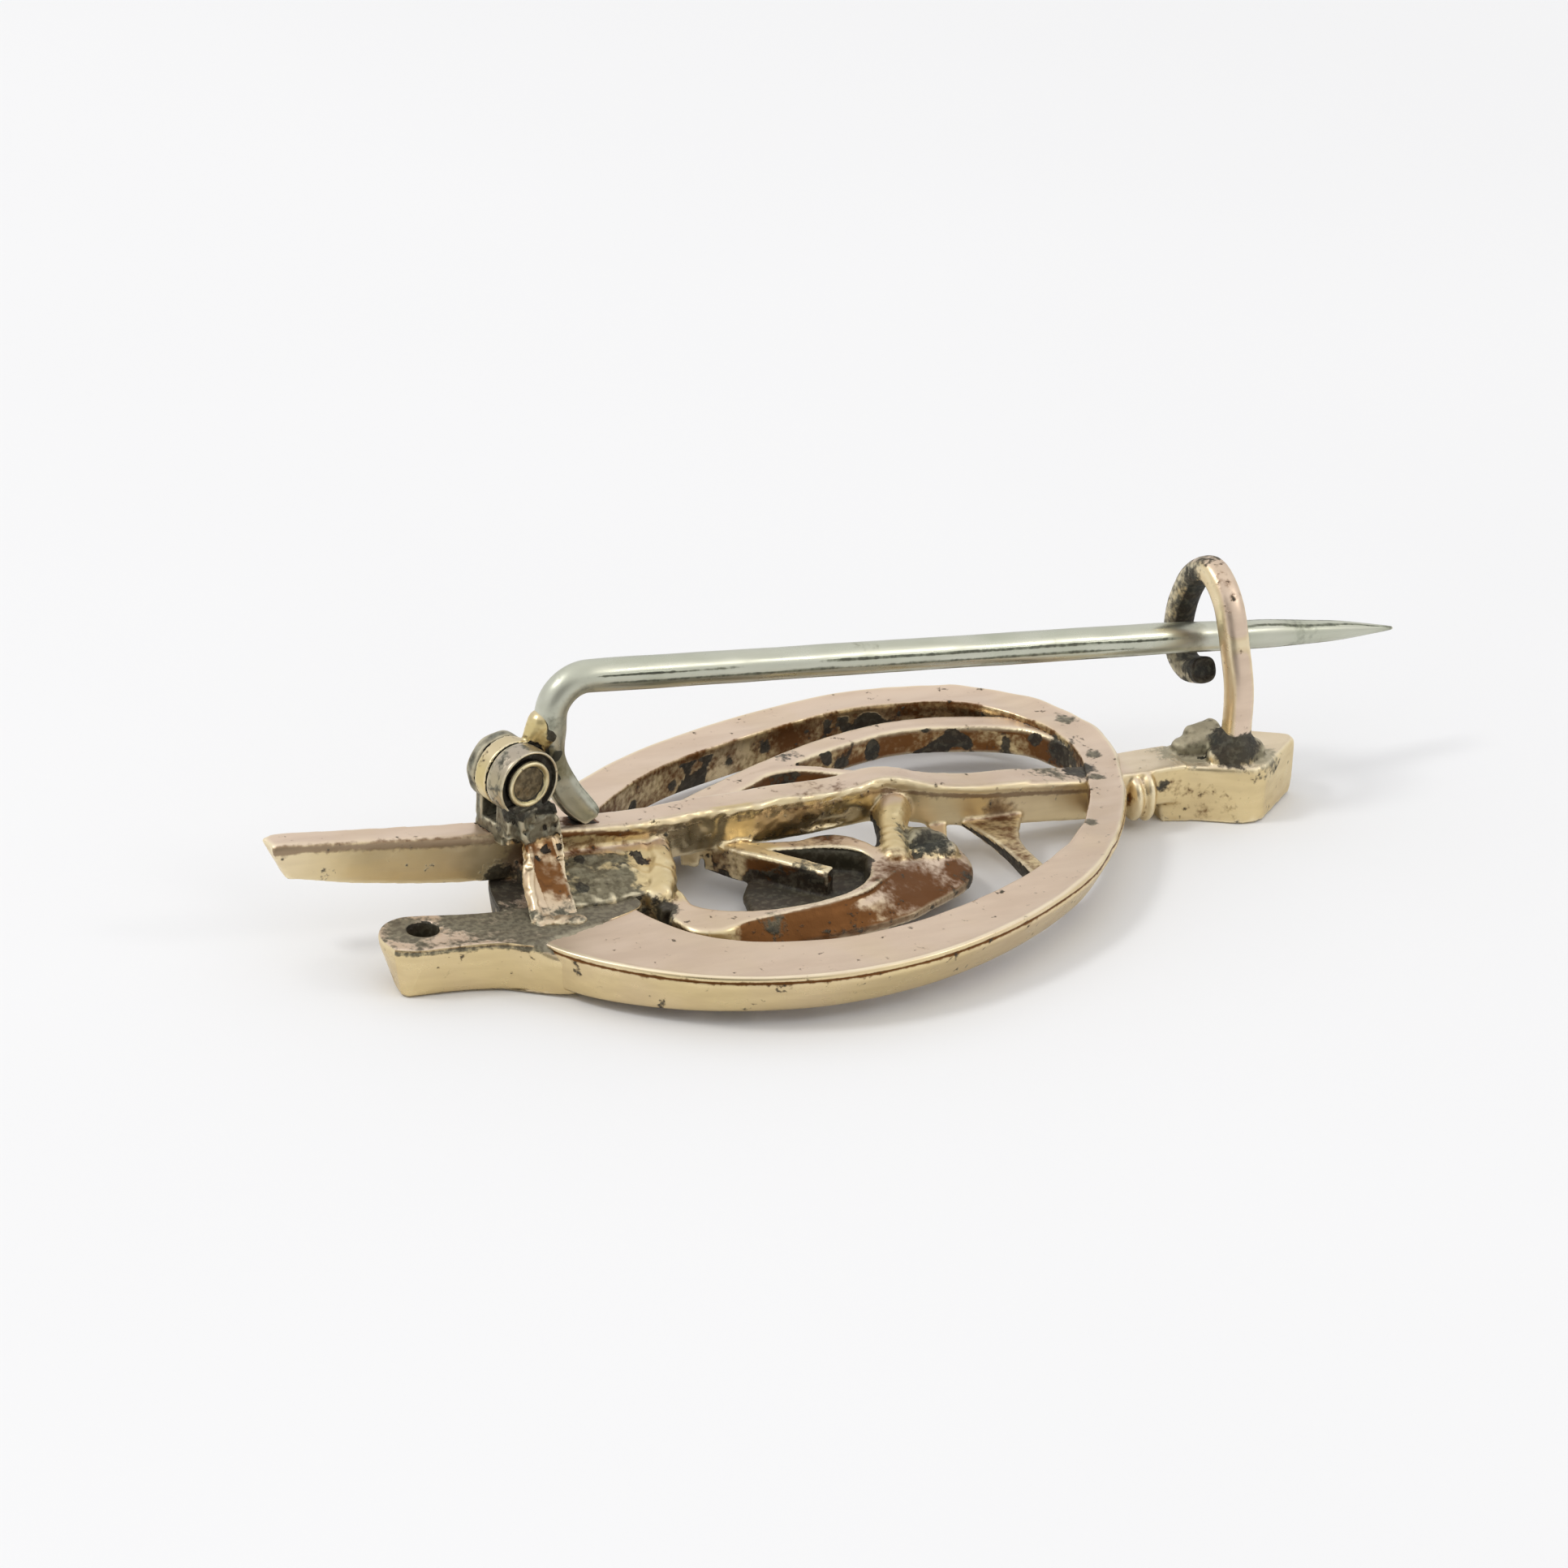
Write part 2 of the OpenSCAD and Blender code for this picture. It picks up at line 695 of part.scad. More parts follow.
module pin() {
    stem_x = 1.27;
    bend = 1.03;
    bend_z = 1.40;
    point_fall = pin_fall + 1;
    start_x = stem_x + bend + bend * sin(pin_fall);
    start_z = bend_z + bend * cos(pin_fall);
    full = (pin_reach - start_x) / cos(pin_fall);
    shank = full - 8.2;
    toe_z = bar_height(hinge_x + 2.4) - hinge_z + slit;
    color(steel)
        laid()
            difference() {
                union() {
                    at_hinge()
                        round_across(knuckle_radius, own_from, own_to);
                    at_pin() {
                        // stem beside the knuckle, then the shaft and its point
                        wire_bend(stem_x + bend, bend_z, bend, -0.60);
                        translate([start_x, 0, start_z])
                            rotate([0, 90 + pin_fall, 0]) {
                                translate([0, 0, 0.15])
                                    cylinder(h = shank - 0.15, r = pin_radius);
                                translate([0, 0, shank])
                                    rotate([0, point_fall - pin_fall, 0])
                                        rotate_extrude()
                                            polygon([
                                                [0, -0.4],
                                                [pin_radius - 0.03, -0.4],
                                                [0.42, 3.6],
                                                [0.29, 6.1],
                                                [0.04, 8.2],
                                                [0, 8.2],
                                            ]);
                            }
                        // tail that slants down to its flattened toe on the bar
                        translate([0, 0.38, 0])
                            rotate([90, 0, 0])
                                linear_extrude(height = 0.76)
                                    polygon([
                                        [0.92, 0.10],
                                        [1.68, 0.10],
                                        [1.98, -0.35],
                                        [2.23, -0.89],
                                        [2.58, -1.42],
                                        [2.80, toe_z + 0.22],
                                        [2.55, toe_z],
                                        [2.30, toe_z + 0.02],
                                        [1.90, -1.66],
                                        [1.50, -1.19],
                                        [1.10, -0.75],
                                    ]);
                    }
                }
                at_hinge() {
                    round_across(rivet_radius + running_play, -2, 2);
                    // the stem is filed away where it would rub on the fixed knuckles
                    round_across(knuckle_radius + 0.05, near_from - 1, own_from);
                    round_across(knuckle_radius + 0.05, own_to, far_to + 1);
                }
            }
}

module pearls() {
    color("#f1ebe0")
        laid()
            for (i = [0 : pearl_count - 1]) {
                s = band_at(pearl_angle(i));
                r = pearl_fit(pearl_angle(i)) / 2;
                p = pearl_place(i);
                translate([p[0], p[1], pearl_low(i)])
                    intersection() {
                        translate([0, 0, r])
                            sphere(r = r);
                        translate([-2, -2, -1])
                            cube([4, 4, 1 + pearl_rise(s)]);
                    }
            }
}

frame();
hinge_bracket();
hinge_rivet();
pin();
pearls();
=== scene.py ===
"""Seed pearl brooch lying face down with its pin on top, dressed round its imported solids.

Sizes in the classes are millimetres in the maker's frame: X runs along the bar towards the
catch, Y away from the viewer and Z up from the pearl front. Bench sets each finished piece
down on the floor, in metres.
"""

import logging
import math
from dataclasses import dataclass
from enum import Enum
from typing import Callable, Sequence

import bmesh
import bpy
import numpy as np
from mathutils import Matrix, Vector, noise
from mathutils.bvhtree import BVHTree

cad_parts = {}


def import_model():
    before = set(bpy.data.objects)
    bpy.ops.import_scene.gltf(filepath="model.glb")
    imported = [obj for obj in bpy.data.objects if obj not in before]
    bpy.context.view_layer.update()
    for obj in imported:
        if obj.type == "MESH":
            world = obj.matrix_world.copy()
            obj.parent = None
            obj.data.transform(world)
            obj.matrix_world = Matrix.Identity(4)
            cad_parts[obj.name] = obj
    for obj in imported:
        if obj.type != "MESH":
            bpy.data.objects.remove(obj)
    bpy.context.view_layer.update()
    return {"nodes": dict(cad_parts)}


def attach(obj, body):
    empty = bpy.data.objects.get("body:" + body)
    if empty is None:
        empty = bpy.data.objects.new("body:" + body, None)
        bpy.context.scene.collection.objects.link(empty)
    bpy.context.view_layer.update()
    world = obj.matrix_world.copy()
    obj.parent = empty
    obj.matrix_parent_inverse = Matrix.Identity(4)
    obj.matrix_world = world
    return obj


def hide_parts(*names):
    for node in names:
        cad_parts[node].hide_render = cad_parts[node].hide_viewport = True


log = logging.getLogger("brooch")
Point = Sequence[float]
Rows = tuple[Point, ...]
Ring = list[Vector]
Span = tuple[float | None, ...]
Run = tuple[Point, Point, tuple[float, float], int]


class Body(Enum):
    """The two bodies that move against each other."""

    BROOCH = "brooch"
    PIN = "swing_pin"


class Stain(Enum):
    """What sits on the metal, as a column of the patina colour; the columns also carry painted
    shade and, on the pin, painted reflection.
    """

    GREY = 0
    BROWN = 1
    SOOT_AND_SHADE = 2


class Side(Enum):
    """Which way a face looks: the axis of its normal and the sign along it."""

    UP = (2, 1)
    UNDER = (2, -1)
    NEAR = (1, -1)


@dataclass(frozen=True)
class Bench:
    """How the brooch lies on the floor: its small lean, and the middle and height of its box."""

    lean: float = 0.9
    middle: tuple[float, float] = (0.1954, -0.8248)
    lift: float = 0.132685
    millimetre: float = 0.001

    def lay(self) -> Matrix:
        """Returns the matrix from the maker's millimetres to metres on the floor."""
        shift = Matrix.Translation((-self.middle[0], -self.middle[1], self.lift))
        return Matrix.Scale(self.millimetre, 4) @ shift @ turned(-self.lean, "Y")


def turned(degrees: float, axis: str = "Z") -> Matrix:
    """Returns a rotation by degrees about one of the frame's axes."""
    return Matrix.Rotation(math.radians(degrees), 4, axis)


BENCH = Bench()


# Curves and skins


def through(rows: Sequence[Point], steps: int) -> np.ndarray:
    """A smooth curve through rows of numbers.

    Args:
        rows: the rows that the curve passes, each with the same columns.
        steps: how many rows each stretch between two of them becomes.

    Returns:
        The refined rows, the last one included.
    """
    table = np.array(rows, float)
    last = len(table) - 1
    out = []
    for i in range(last):
        a, b = table[max(i - 1, 0)], table[i]
        c, d = table[i + 1], table[min(i + 2, last)]
        for j in range(steps):
            t = j / steps
            cubic = (2 * a - 5 * b + 4 * c - d) * t * t + (3 * b - a - 3 * c + d) * t**3
            out.append(0.5 * (2 * b + (c - a) * t + cubic))
    out.append(table[last])
    return np.array(out)


def rounded(value: float, power: float) -> float:
    """Raises a cosine or sine to a power and keeps its sign, for an oval that is nearly round."""
    return math.copysign(abs(value) ** power, value)


def ways(path: np.ndarray) -> np.ndarray:
    """Unit directions along a path of two columns, one for each of its rows."""
    way = np.gradient(path[:, :2], axis=0)
    return way / np.linalg.norm(way, axis=1, keepdims=True)


class Skin:
    """A closed skin grown station by station: each ring is extruded from the one before."""

    def __init__(self, bm: bmesh.types.BMesh) -> None:
        """Keeps the mesh that the skins are grown in."""
        self.bm = bm

    def grow(self, rings: Sequence[Ring], closed: bool = False) -> None:
        """Grows one skin.

        Args:
            rings: rings of the same number of points, in order along the piece.
            closed: whether the last ring joins the first one, or both ends get a cap.
        """
        bm, count = self.bm, len(rings[0])
        here = [bm.verts.new(p) for p in rings[0]]
        first = [bm.edges.new((here[i], here[(i + 1) % count])) for i in range(count)]
        edges = first
        for ring in rings[1:]:
            grown = bmesh.ops.extrude_edge_only(bm, edges=edges)["geom"]
            fresh = {g for g in grown if isinstance(g, bmesh.types.BMVert)}
            here = [self.partner(v, fresh) for v in here]
            for vert, place in zip(here, ring):
                vert.co = place
            edges = [bm.edges.get((here[i], here[(i + 1) % count])) for i in range(count)]
        if closed:
            bmesh.ops.bridge_loops(bm, edges=first + edges)
        else:
            bmesh.ops.edgeloop_fill(bm, edges=first)
            bmesh.ops.edgeloop_fill(bm, edges=edges)

    def loops(self, steps: Sequence[tuple[np.ndarray, float]], closed: bool = False) -> None:
        """Grows one skin from flat outlines, each with its height."""
        self.grow([[Vector((x, y, z)) for x, y in loop] for loop, z in steps], closed)

    def block(self, x: Point, y: Point, z: Point, place: Matrix = Matrix.Identity(4)) -> None:
        """Grows a plain block between pairs of x, y and z in the frame of place."""
        self.grow([[place @ Vector((px, py, pz)) for py, pz in
                    ((y[0], z[0]), (y[1], z[0]), (y[1], z[1]), (y[0], z[1]))] for px in x])

    @staticmethod
    def partner(vert: bmesh.types.BMVert, fresh: set) -> bmesh.types.BMVert:
        """Returns the new vertex that was extruded from vert."""
        return next(e.other_vert(vert) for e in vert.link_edges if e.other_vert(vert) in fresh)

    def beads(self, start: Point, end: Point, radii: tuple[float, float], count: int = 5,
              squash: Point = (1, 1, 1)) -> None:
        """Lays a run of solder beads that melt together.

        Args:
            start: middle of the first bead.
            end: middle of the last bead.
            radii: radius of the first and the last bead.
            count: how many beads.
            squash: how much each bead is scaled along X, Y and Z.
        """
        for i in range(count):
            t = i / max(count - 1, 1)
            place = Vector(start).lerp(Vector(end), t)
            radius = radii[0] + (radii[1] - radii[0]) * t
            size = Matrix.Diagonal((*(radius * s for s in squash), 1))
            bmesh.ops.create_uvsphere(self.bm, u_segments=16, v_segments=10, radius=1,
                                      matrix=Matrix.Translation(place) @ size)


def circle(radius: float, along: float, count: int, place: Matrix) -> Ring:
    """Ring of points round the Y axis of place.

    Args:
        radius: radius of the ring.
        along: its way along the axis.
        count: how many points.
        place: matrix into the maker's frame.

    Returns:
        The ring's points.
    """
    turns = [math.tau * k / count for k in range(count)]
    return [place @ Vector((radius * math.cos(a), along, radius * math.sin(a))) for a in turns]


# Finished meshes


class Piece:
    """A mesh on its way to a finished object: fused, smoothed, painted and set down."""

    def __init__(self, name: str, bm: bmesh.types.BMesh) -> None:
        """Closes the mesh of bm and keeps it in millimetres under name."""
        bmesh.ops.recalc_face_normals(bm, faces=bm.faces)
        self.mesh = bpy.data.meshes.new(name)
        bm.to_mesh(self.mesh)
        bm.free()
        self.object = bpy.data.objects.new(name, self.mesh)
        bpy.context.scene.collection.objects.link(self.object)

    def settle(self, kind: str, **values: object) -> "Piece":
        """Adds one modifier, applies it to the mesh and returns the piece.

        Args:
            kind: the modifier's type.
            **values: its settings.

        Returns:
            The piece itself.
        """
        modifier = self.object.modifiers.new("settle", kind)
        for key, value in values.items():
            setattr(modifier, key, value)
        seen = self.object.evaluated_get(bpy.context.evaluated_depsgraph_get())
        mesh = bpy.data.meshes.new_from_object(seen)
        self.object.modifiers.clear()
        self.object.data, self.mesh = mesh, mesh
        return self

    def refine(self) -> "Piece":
        """Rounds the skin by splitting every face in four, and returns the piece."""
        return self.settle("SUBSURF", levels=1, render_levels=1)

    def fuse(self, voxel: float, rounds: int) -> "Piece":
        """Melts overlapping skins into one and eases the grid's steps.

        Args:
            voxel: size of the grid in millimetres.
            rounds: how often the surface is smoothed.

        Returns:
            The piece itself.
        """
        self.settle("REMESH", mode="VOXEL", voxel_size=voxel, use_smooth_shade=True)
        return self.settle("SMOOTH", factor=0.5, iterations=rounds)

    def read(self, field: str) -> np.ndarray:
        """Returns one field of the vertices, a row of three each."""
        out = np.empty(len(self.mesh.vertices) * 3)
        self.mesh.vertices.foreach_get(field, out)
        return out.reshape(-1, 3)

    def places(self) -> np.ndarray:
        """Returns the vertices' places."""
        return self.read("co")

    def normals(self) -> np.ndarray:
        """Returns the vertices' normals."""
        return self.read("normal")

    def swell(self, amount: Callable[[np.ndarray, np.ndarray], np.ndarray]) -> "Piece":
        """Moves each vertex along its normal.

        Args:
            amount: gives the way in millimetres from the places and normals.

        Returns:
            The piece itself.
        """
        places, normals = self.places(), self.normals()
        moved = places + normals * amount(places, normals)[:, None]
        self.mesh.vertices.foreach_set("co", moved.ravel())
        self.mesh.update()
        return self

    def crest(self) -> np.ndarray:
        """How far each vertex stands on an edge: above 0 on a ridge, below 0 in a crease."""
        places, normals = self.places(), self.normals()
        pairs = np.empty(len(self.mesh.edges) * 2, int)
        self.mesh.edges.foreach_get("vertices", pairs)
        pairs = pairs.reshape(-1, 2)
        value = np.zeros(len(places))
        count = np.zeros(len(places))
        for a, b in ((0, 1), (1, 0)):
            step = places[pairs[:, b]] - places[pairs[:, a]]
            length = lengths(step) + 1e-9
            np.add.at(value, pairs[:, a], -(normals[pairs[:, a]] * step).sum(1) / length)
            np.add.at(count, pairs[:, a], 1)
        value /= np.maximum(count, 1)
        for _ in range(2):
            spread = value.copy()
            for a, b in ((0, 1), (1, 0)):
                np.add.at(spread, pairs[:, a], value[pairs[:, b]])
            value = spread / (count + 1)
        return value

    def colour(self, name: str, columns: Sequence[np.ndarray]) -> None:
        """Stores three columns of 0 to 1 as a colour on the vertices, under name."""
        layer = self.mesh.color_attributes.new(name, "FLOAT_COLOR", "POINT")
        values = np.ones((len(self.mesh.vertices), 4))
        for i, column in enumerate(columns):
            values[:, i] = np.clip(column, 0, 1)
        layer.data.foreach_set("color", values.ravel())

    def finish(self, body: Body, slot: str, material: bpy.types.Material, nodes: Sequence[str],
               sharp: float = 180) -> bpy.types.Object:
        """Sets the piece down and hands it to its body.

        Args:
            body: what it moves with.
            slot: the record's material slot; not used.
            material: its finish.
            nodes: CAD nodes that it stands for.
            sharp: edges over this angle in degrees stay sharp.

        Returns:
            The finished object.
        """
        self.mesh.transform(BENCH.lay())
        self.mesh.shade_smooth()
        if sharp < 180:
            self.mesh.set_sharp_from_angle(angle=math.radians(sharp))
        self.mesh.materials.clear()
        self.mesh.materials.append(material)
        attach(self.object, body.value)
        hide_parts(*nodes)
        triangles = sum(len(p.vertices) - 2 for p in self.mesh.polygons)
        log.info("%s: %d triangles on %s", self.object.name, triangles, body.value)
        return self.object


# Shade, stains and paint


class Patina_and_shade:
    """Shade in the corners, laid on as painted shade, and stains by place, worked out for each
    vertex of a piece.
    """

    rays: int = 10
    # how far a ray looks, where it starts over the skin, and what shade is left at its end
    reach: float = 2.6
    start: float = 0.16
    thinning: float = 0.6
    # a stain is whole out to 1 - 1 / core of its width
    core: float = 1.3

    def __init__(self, nodes: dict[str, bpy.types.Object], carriers: Sequence[str],
                 blots: dict[Stain, Sequence[Point]]) -> None:
        """Reads the solids that shade each other, and keeps the table of stains.

        Args:
            nodes: the CAD nodes by name.
            carriers: the names of those that cast shade.
            blots: rows of x, y, z, width and strength for each kind of stain.
        """
        back = BENCH.lay().inverted()
        corners: list[Vector] = []
        faces: list[tuple[int, ...]] = []
        for name in carriers:
            mesh = nodes[name].data
            offset = len(corners)
            corners.extend(back @ v.co for v in mesh.vertices)
            faces.extend(tuple(i + offset for i in p.vertices) for p in mesh.polygons)
        self.tree = BVHTree.FromPolygons(corners, faces)
        self.blots = blots
        self.fan = self.directions()

    def directions(self) -> list[Vector]:
        """Returns an even fan of directions round +Z, denser near the middle."""
        golden = math.pi * (3 - math.sqrt(5))
        fan = []
        for i in range(self.rays):
            up = math.sqrt(1 - (i + 0.5) / self.rays)
            side = math.sqrt(1 - up * up)
            fan.append(Vector((side * math.cos(golden * i), side * math.sin(golden * i), up)))
        return fan

    def shade(self, places: np.ndarray, normals: np.ndarray) -> np.ndarray:
        """How hidden each vertex is, from 0 in the open to 1 in a deep corner."""
        out = np.zeros(len(places))
        up = Vector((0, 0, 1))
        cast = self.tree.ray_cast
        for i, (place, normal) in enumerate(zip(places, normals)):
            n = Vector(normal)
            turn = up.rotation_difference(n).to_matrix()
            origin = Vector(place) + n * self.start
            hidden = 0.0
            for ray in self.fan:
                distance = cast(origin, turn @ ray, self.reach)[3]
                if distance is not None:
                    hidden += 1 - self.thinning * distance / self.reach
            out[i] = hidden / self.rays
        return out

    def stains(self, places: np.ndarray) -> list[np.ndarray]:
        """Returns a column for each kind of stain: 1 at its middle, easing out to 0."""
        columns = [np.zeros(len(places)) for _ in Stain]
        for kind, rows in self.blots.items():
            for x, y, z, wide, strong in rows:
                way = lengths(places - np.array([x, y, z])) / wide
                value = strong * np.clip(self.core * (1 - way), 0, 1)
                columns[kind.value] = np.maximum(columns[kind.value], value)
        return columns


def ripple(places: np.ndarray, size: float, seed: float = 0.0) -> np.ndarray:
    """Smooth noise at the places, about -1 to 1, with bumps of the given size."""
    shift = Vector((seed * 7.1, seed * 3.3, seed * 5.7))
    return np.array([noise.noise(Vector(p) / size + shift) for p in places])


def ease(value: np.ndarray, low: float, high: float) -> np.ndarray:
    """Smooth step of value from 0 at low to 1 at high."""
    t = np.clip((value - low) / (high - low), 0, 1)
    return t * t * (3 - 2 * t)


def lengths(rows: np.ndarray) -> np.ndarray:
    """Returns the length of each row."""
    return np.linalg.norm(rows, axis=1)


def streak(value: np.ndarray, middle: float, wide: float) -> np.ndarray:
    """Soft line: 1 where value is at the middle, fading out over its width."""
    return np.exp(-((value - middle) / wide) ** 2)


def facing(normals: np.ndarray, side: Side, low: float, high: float) -> np.ndarray:
    """Smooth step from 0 to 1 as a face turns to a side, between two shares of its normal."""
    axis, sign = side.value
    return ease(sign * normals[:, axis], low, high)


@dataclass(frozen=True)
class Zone:
    """A place with soft edges: where it starts, is whole, is whole still and ends on an axis."""

    x: Span = ()
    y: Span = ()
    z: Span = ()

    def mask(self, places: np.ndarray) -> np.ndarray:
        """Returns 1 inside the place, easing to 0 over its edges. None leaves a side open."""
        out = np.ones(len(places))
        for column, span in zip(places.T, (self.x, self.y, self.z)):
            if not span:
                continue
            start, whole, last, end = span
            for outer, inner in ((start, whole), (end, last)):
                if outer is not None:
                    out = out * ease(column, outer, inner)
        return out


class Paint:
    """The coat of one piece: three columns of tarnish and painted shade, laid over each other."""

    def __init__(self, piece: Piece, patina_and_shade: Patina_and_shade, base: Point = ()) -> None:
        """Measures the piece.

        Args:
            piece: what is painted.
            patina_and_shade: shade and stains.
            base: grey, brown and soot that lie all over, in place of the table of stains.
        """
        self.piece = piece
        self.places, self.normals = piece.places(), piece.normals()
        self.shade = patina_and_shade.shade(self.places, self.normals)
        if base:
            self.columns = [np.full(len(self.places), value) for value in base]
        else:
            self.columns = patina_and_shade.stains(self.places)

    def add(self, kind: Stain, value: np.ndarray) -> None:
        """Lays a column's value, tarnish and painted shade alike, wherever it is stronger than what
        is there.
        """
        self.columns[kind.value] = np.maximum(self.columns[kind.value], value)

    def thin(self, kind: Stain, share: np.ndarray) -> None:
        """Leaves only a share of a stain."""
        self.columns[kind.value] = self.columns[kind.value] * share

    def corners(self, kind: Stain, strong: float | np.ndarray, low: float, high: float) -> None:
        """Lays painted shade with tarnish in the corners, into one column, growing from a shade of
        low to one of high.
        """
        self.add(kind, strong * ease(self.shade, low, high))

    def ripple(self, size: float, seed: float, stretch: Point = (1, 1, 1)) -> np.ndarray:
        """Smooth noise at the piece's places, with bumps of the given size."""
        return ripple(self.places * np.array(stretch), size, seed)

    def facing(self, side: Side, low: float, high: float) -> np.ndarray:
        """Smooth step as the piece's faces turn to a side."""
        return facing(self.normals, side, low, high)

    def finish(self, bright: np.ndarray, pink: np.ndarray, gloss: float | np.ndarray) -> None:
        """Stores the coat, with how bright, pink and glossy the metal is under it: bright holds
        painted highlights and worn polish, pink is partly a painted reflection.
        """
        self.piece.colour("patina_and_shade", self.columns)
        self.piece.colour("surface", (bright, pink, gloss))


# Finishes


def tone(code: str) -> tuple[float, float, float, float]:
    """Linear colour of a display colour written as six hexadecimal digits."""
    parts = [int(code[i:i + 2], 16) / 255 for i in (0, 2, 4)]
    linear = [p / 12.92 if p <= 0.04045 else ((p + 0.055) / 1.055) ** 2.4 for p in parts]
    return (*linear, 1.0)


class Wiring:
    """Short hand for laying shader nodes and joining them."""

    def __init__(self, tree: bpy.types.NodeTree) -> None:
        """Keeps the node tree."""
        self.tree = tree

    def node(self, kind: str, **values: object) -> bpy.types.Node:
        """Adds a node.

        Args:
            kind: its type name without the ShaderNode in front.
            **values: its settings; a key that starts with in_ sets the input of that number.

        Returns:
            The node.
        """
        node = self.tree.nodes.new("ShaderNode" + kind)
        for key, value in values.items():
            if key.startswith("in_"):
                node.inputs[int(key[3:])].default_value = value
            else:
                setattr(node, key, value)
        return node

    def join(self, source: bpy.types.NodeSocket, target: bpy.types.NodeSocket) -> None:
        """Links one socket to another."""
        self.tree.links.new(source, target)

    def feed(self, value: object, target: bpy.types.NodeSocket) -> None:
        """Sets an input to a number or colour, or links it to a socket."""
        if isinstance(value, bpy.types.NodeSocket):
            self.join(value, target)
        else:
            target.default_value = value

    def math(self, operation: str, a: object, b: object = 0.0, clamp: bool = False) -> object:
        """Adds a Math node on two sockets or numbers and returns its output."""
        node = self.node("Math", operation=operation, use_clamp=clamp)
        for target, value in zip(node.inputs, (a, b)):
            self.feed(value, target)
        return node.outputs[0]

    def times(self, a: object, b: object, clamp: bool = False) -> object:
        """Multiplies two sockets or numbers."""
        return self.math("MULTIPLY", a, b, clamp)

    def plus(self, a: object, b: object) -> object:
        """Adds two sockets or numbers."""
        return self.math("ADD", a, b)

    def less(self, a: object, b: object, clamp: bool = False) -> object:
        """Takes b from a."""
        return self.math("SUBTRACT", a, b, clamp)

    def mix(self, factor: object, a: object, b: object) -> object:
        """Adds a colour Mix node and returns its output."""
        node = self.node("Mix", data_type="RGBA")
        for number, value in zip((0, 6, 7), (factor, a, b)):
            self.feed(value, node.inputs[number])
        return node.outputs[2]

    def step(self, value: object, low: float, high: float) -> object:
        """Adds a smooth step from low to high and returns its output."""
        node = self.node("MapRange", interpolation_type="SMOOTHSTEP", in_1=low, in_2=high)
        self.join(value, node.inputs[0])
        return node.outputs[0]

    def grain(self, size: float, detail: float, stretch: Point = (1, 1, 1)) -> object:
        """Adds noise on Object coordinates.

        Args:
            size: size of its bumps in millimetres.
            detail: octaves of finer noise.
            stretch: scale of the coordinates along X, Y and Z.

        Returns:
            Its output, about 0 to 1.
        """
        place = self.node("TexCoord").outputs["Object"]
        mapping = self.node("Mapping")
        mapping.inputs["Scale"].default_value = [1000 * s / size for s in stretch]
        self.join(place, mapping.inputs["Vector"])
        texture = self.node("TexNoise")
        texture.inputs["Scale"].default_value = 1.0
        texture.inputs["Detail"].default_value = detail
        self.join(mapping.outputs[0], texture.inputs["Vector"])
        return texture.outputs["Fac"]


